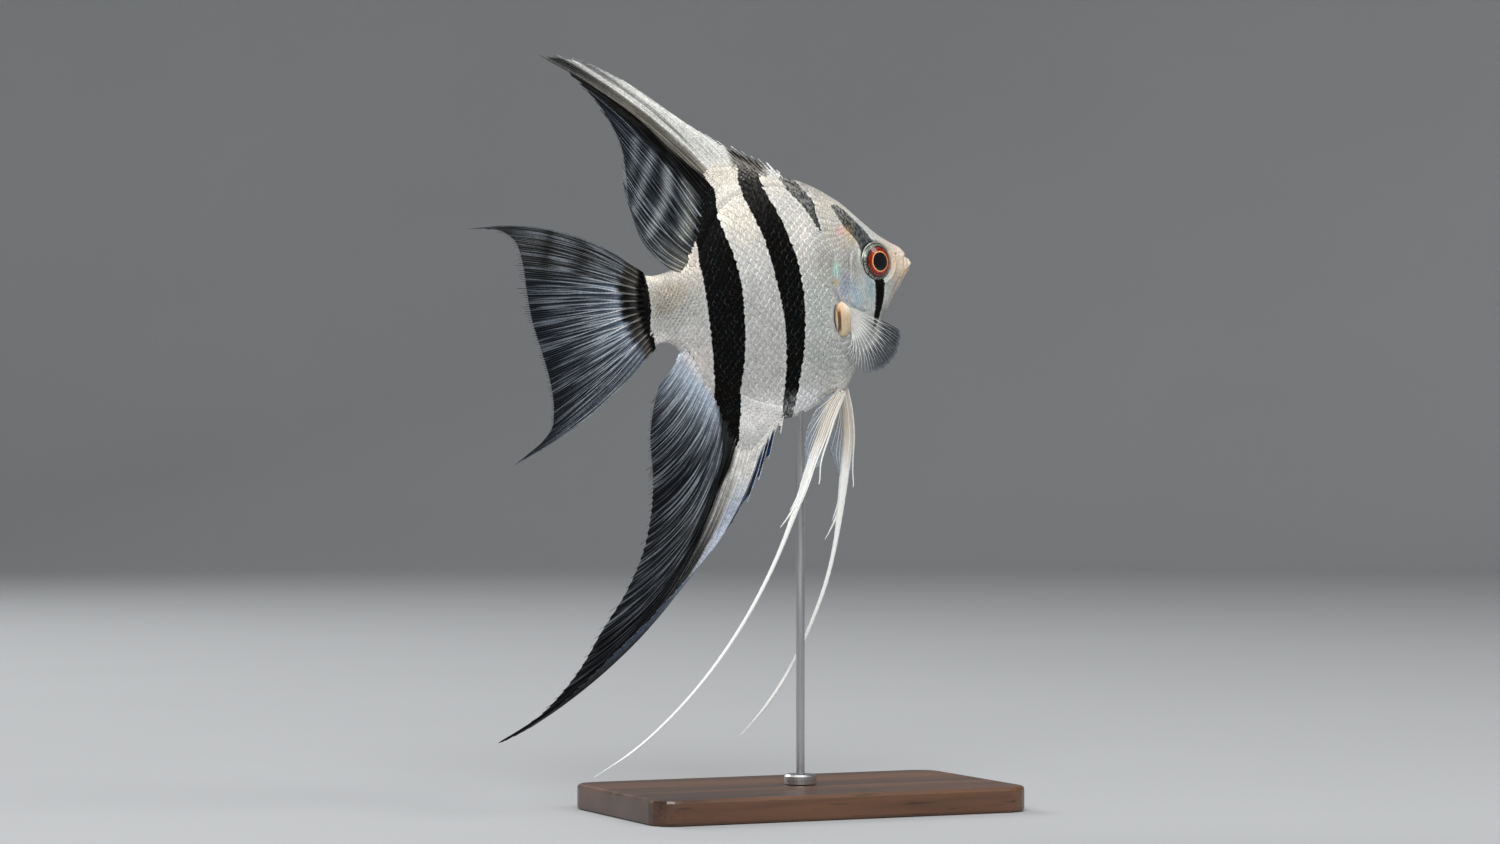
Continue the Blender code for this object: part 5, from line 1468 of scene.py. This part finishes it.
def eye_material():
    """Painted by the distance from the pupil's middle: pupil, bright ring, red iris, mottled rim."""
    shader = Shader("eye", Coat_Weight=1, Coat_Roughness=0.02, Coat_IOR=1.35, Roughness=0.3,
                    Specular_IOR_Level=0.3)
    ring, turn = shader.attributes("ring", "turn")
    wobble = shader.noise(0.7) * 0.36 + -0.18
    soft, inner = ring + wobble, ring + wobble * 0.5
    flames = shader.noise(1.9, 5, roughness=0.7)
    mottle = shader.noise(1.5, 5, roughness=0.7).ramp(0.44, 0.62)
    rim = shader.mix(mottle, srgb(0.20, 0.23, 0.205), srgb(0.58, 0.62, 0.56))
    rim = rim.cover(shader.cells(1.9).ramp(0.30, 0.12, 0, 0.8), srgb(0.80, 0.83, 0.76))
    rim = rim.cover(turn.ramp(0.3, 0.9) * 0.25, srgb(0.62, 0.65, 0.56))
    glow = shader.mix(flames.ramp(0.35, 0.65), srgb(0.98, 0.62, 0.36), srgb(1, 0.78, 0.50))
    colour = shader.mix(flames.ramp(0.36, 0.66), srgb(0.20, 0.03, 0.02), srgb(0.66, 0.14, 0.04))
    for share, over in ((shader.noise(1.3, 4).ramp(0.60, 0.72, 0, 0.85), srgb(0.90, 0.42, 0.16)),
                        (soft.ramp(3.95, 4.15), srgb(0.075, 0.09, 0.075)),
                        (soft.ramp(4.25, 4.6), rim),
                        (soft.ramp(5, 5.25), srgb(0.13, 0.14, 0.125)),
                        (ring.ramp(5.34, 5.42), srgb(0.66, 0.69, 0.63)),
                        (ring.ramp(5.52, 5.6), srgb(0.10, 0.11, 0.10)),
                        (soft.ramp(3.35, 2.9, 0, 0.6), srgb(0.80, 0.27, 0.09)),
                        (inner.ramp(2.93, 2.80), glow),
                        (inner.ramp(2.66, 2.58), srgb(0.008, 0.008, 0.014))):
        colour = colour.cover(share, over)
    shader.set("Base Color", colour)
    shader.set("Metallic", ring.ramp(4.2, 4.5) * 0.35)
    shader.bump(shader.noise(2, 4), 0.05, 0.25)
    return shader.material


def make_eyes():
    curve = along([(r, 0, h) for r, h in EYE_PROFILE])(np.linspace(0, 1, EYE_RINGS + 2)[1:-1])
    r, h = curve[:, 0], curve[:, 2]
    turn = 2 * math.pi * np.arange(EYE_SEGMENTS) / EYE_SEGMENTS
    ring = np.append(np.repeat(np.where(h > EYE_WIDEST, r, EYE_BACK), EYE_SEGMENTS), (0, EYE_BACK))
    height = np.append(np.tile(np.sin(turn) / 2 + 0.5, EYE_RINGS), (0.5, 0.5))
    finish = eye_material()
    for side, sign in SIDES:
        axis, centre = EYE_AXIS * (1, sign, 1), np.array(EYE_CENTRE) * (1, sign, 1)
        fore, up = np.array([axis[1] * sign, -axis[0] * sign, 0]), np.array([0, 0, 1])
        spoke = fore * np.cos(turn)[:, None] + up * np.sin(turn)[:, None]
        rings = centre + axis * h[:, None, None] + spoke[None] * r[:, None, None]
        ends = centre + axis * np.array([[EYE_PROFILE[0][1]], [EYE_PROFILE[-1][1]]])
        pile = Pile()
        pile.add(*closed_rings(rings, ends), ring=ring, turn=height)
        pile.build(f"eyeball_{side}", finish, (f"eye_{side}",))


# ---------------------------------------------------------------- stand


def walnut():
    shader = Shader("oiled walnut", Coat_Weight=0.35, Coat_Roughness=0.18)
    warp = shader.clouds(shader.place((4, 60, 60)), 1, 4)
    bands = shader.clouds(shader.place((9, 210, 210)), 1, 6, distortion=0.6)
    pores = shader.clouds(shader.place((70, 1500, 1500)), 1, 2).ramp(0.60, 0.70)
    tone = (warp * 0.55 + bands * 0.55).ramp(0.35, 0.75)
    colour = shader.mix(tone, srgb(0.20, 0.125, 0.08), srgb(0.43, 0.285, 0.185))
    shader.set("Base Color", colour.cover(pores * 0.6, srgb(0.10, 0.06, 0.04)))
    shader.set("Roughness", bands.line(0.3, 0.7, 0.30, 0.48))
    shader.bump(bands + pores * -1, 0.05, 0.35)
    return shader.material


def brushed_steel(name, direction):
    shader = Shader(name, Metallic=1)
    brushed = shader.clouds(shader.place(direction), 1, 3)
    shader.set("Base Color", brushed.line(0.3, 0.7, 0.50, 0.66))
    shader.set("Roughness", brushed.line(0.3, 0.7, 0.20, 0.34)
               + shader.clouds(shader.place((1, 1, 1)), 60, 3) * 0.08)
    shader.bump(brushed, 0.02, 0.3)
    return shader.material


def finish_stand():
    for node, material in (("stand_base", walnut()),
                           ("stand_rod", brushed_steel("brushed rod", (900, 900, 30))),
                           ("stand_collar", brushed_steel("turned collar", (60, 60, 2500)))):
        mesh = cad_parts[node].data
        mesh.materials.clear()
        mesh.materials.append(material)


# ---------------------------------------------------------------- stage, light and camera

FLOOR_COLOUR = (0.42, 0.43, 0.44)
FLOOR_REACH, FLOOR_SWEEP, FLOOR_TOP = 1.9, 0.6, 3  # metres: the flat part, the bend's radius, the height
FLOOR_SIDES = 96
CAMERA_TURN = math.radians(24)  # from square on to the fish's right side
CAMERA_AIM, CAMERA_DISTANCE = Vector((-0.01527, 0, 0.10744)), 1.1483


def stage():
    """A pale floor that sweeps up into a backdrop behind the camera's view, on every side."""
    shader = Shader("studio floor", Roughness=0.85)
    dark, bright = (tuple(level * c for c in FLOOR_COLOUR) for level in (0.97, 1.03))
    shader.set("Base Color", shader.mix(shader.clouds(shader.place((1, 1, 1)), 6, 4), dark, bright))
    turns = np.linspace(0.1, math.pi / 2, 12)
    profile = [(FLOOR_REACH, 0)]
    profile += [(FLOOR_REACH + FLOOR_SWEEP * math.sin(a), FLOOR_SWEEP * (1 - math.cos(a))) for a in turns]
    profile += [(FLOOR_REACH + FLOOR_SWEEP, FLOOR_TOP)]
    turns = np.linspace(2 * math.pi, 0, FLOOR_SIDES, endpoint=False)
    rings = np.array([[(r * math.cos(a), r * math.sin(a), z) for a in turns] for r, z in profile])
    points, quads, tris = closed_rings(rings, np.zeros((2, 3)))
    mesh = bpy.data.meshes.new("floor")  # a fan closes the middle of the floor, and none the top
    mesh.from_pydata(points[:-1].tolist(), [], quads.tolist() + tris[:FLOOR_SIDES].tolist())
    mesh.shade_smooth()
    mesh.materials.append(shader.material)
    floor = bpy.data.objects.new("floor", mesh)
    bpy.context.scene.collection.objects.link(floor)


def lights():
    """Soft boxes aimed at the fish: name, place, size, watts and colour."""
    for name, place, size, watts, colour in (
            ("key softbox", (-0.45, -1.05, 1.05), (0.9, 0.7), 17, (1, 1, 1)),
            ("front fill", (0.75, -0.75, 1.15), (0.5, 0.5), 4.5, (1, 0.98, 0.95)),
            ("back fill", (-0.5, 1.2, 0.9), (1, 0.8), 11, (1, 1, 1)),
            ("top softbox", (0, 0.1, 1.5), (1, 1), 7, (1, 1, 1))):
        light = bpy.data.objects.new(name, bpy.data.lights.new(name, "AREA"))
        light.data.energy = watts
        light.data.shape = "RECTANGLE"
        light.data.size, light.data.size_y = size
        light.data.color = colour
        light.location = place
        aim = Vector((0, 0, 0.12)) - Vector(place)
        light.rotation_euler = aim.to_track_quat("-Z", "Y").to_euler()
        bpy.context.scene.collection.objects.link(light)


def camera_and_world():
    scene = bpy.context.scene
    camera = bpy.data.objects.new("camera", bpy.data.cameras.new("camera"))
    scene.collection.objects.link(camera)
    camera.data.lens = 100
    camera.data.sensor_width = 36
    camera.data.clip_start = 0.02
    toward = Vector((math.sin(CAMERA_TURN), math.cos(CAMERA_TURN), 0))
    camera.location = CAMERA_AIM - CAMERA_DISTANCE * toward
    camera.rotation_euler = (math.pi / 2, 0, -CAMERA_TURN)
    scene.camera = camera
    scene.view_settings.view_transform = "Standard"
    scene.world = bpy.data.worlds.new("studio")
    scene.world.use_nodes = True
    sky = scene.world.node_tree.nodes["Background"]
    sky.inputs["Color"].default_value = (0.95, 0.97, 1, 1)
    sky.inputs["Strength"].default_value = 0.30


# ---------------------------------------------------------------- the model

camera_and_world()
stage()
lights()
finish_stand()
flank = Flank()
make_skin(flank)
make_eyes()
make_median_fins()
make_pectoral_fins()
make_pectoral_lobes()
make_pelvic_fins()
scales = flesh_material("scales", scaled=True)
for side, sign in SIDES:
    make_scales(flank, sign, -10, 27, f"scales_rear_{side}", scales)
    make_scales(flank, sign, 27, 53, f"scales_body_{side}", scales)
    make_scales(flank, sign, 53, 90, f"scales_head_{side}", scales)
    make_sheath(dorsal_surface, DORSAL_SHEATH, sign, f"scales_dorsal_{side}", scales)
    make_sheath(anal_surface, ANAL_SHEATH, sign, f"scales_anal_{side}", scales)
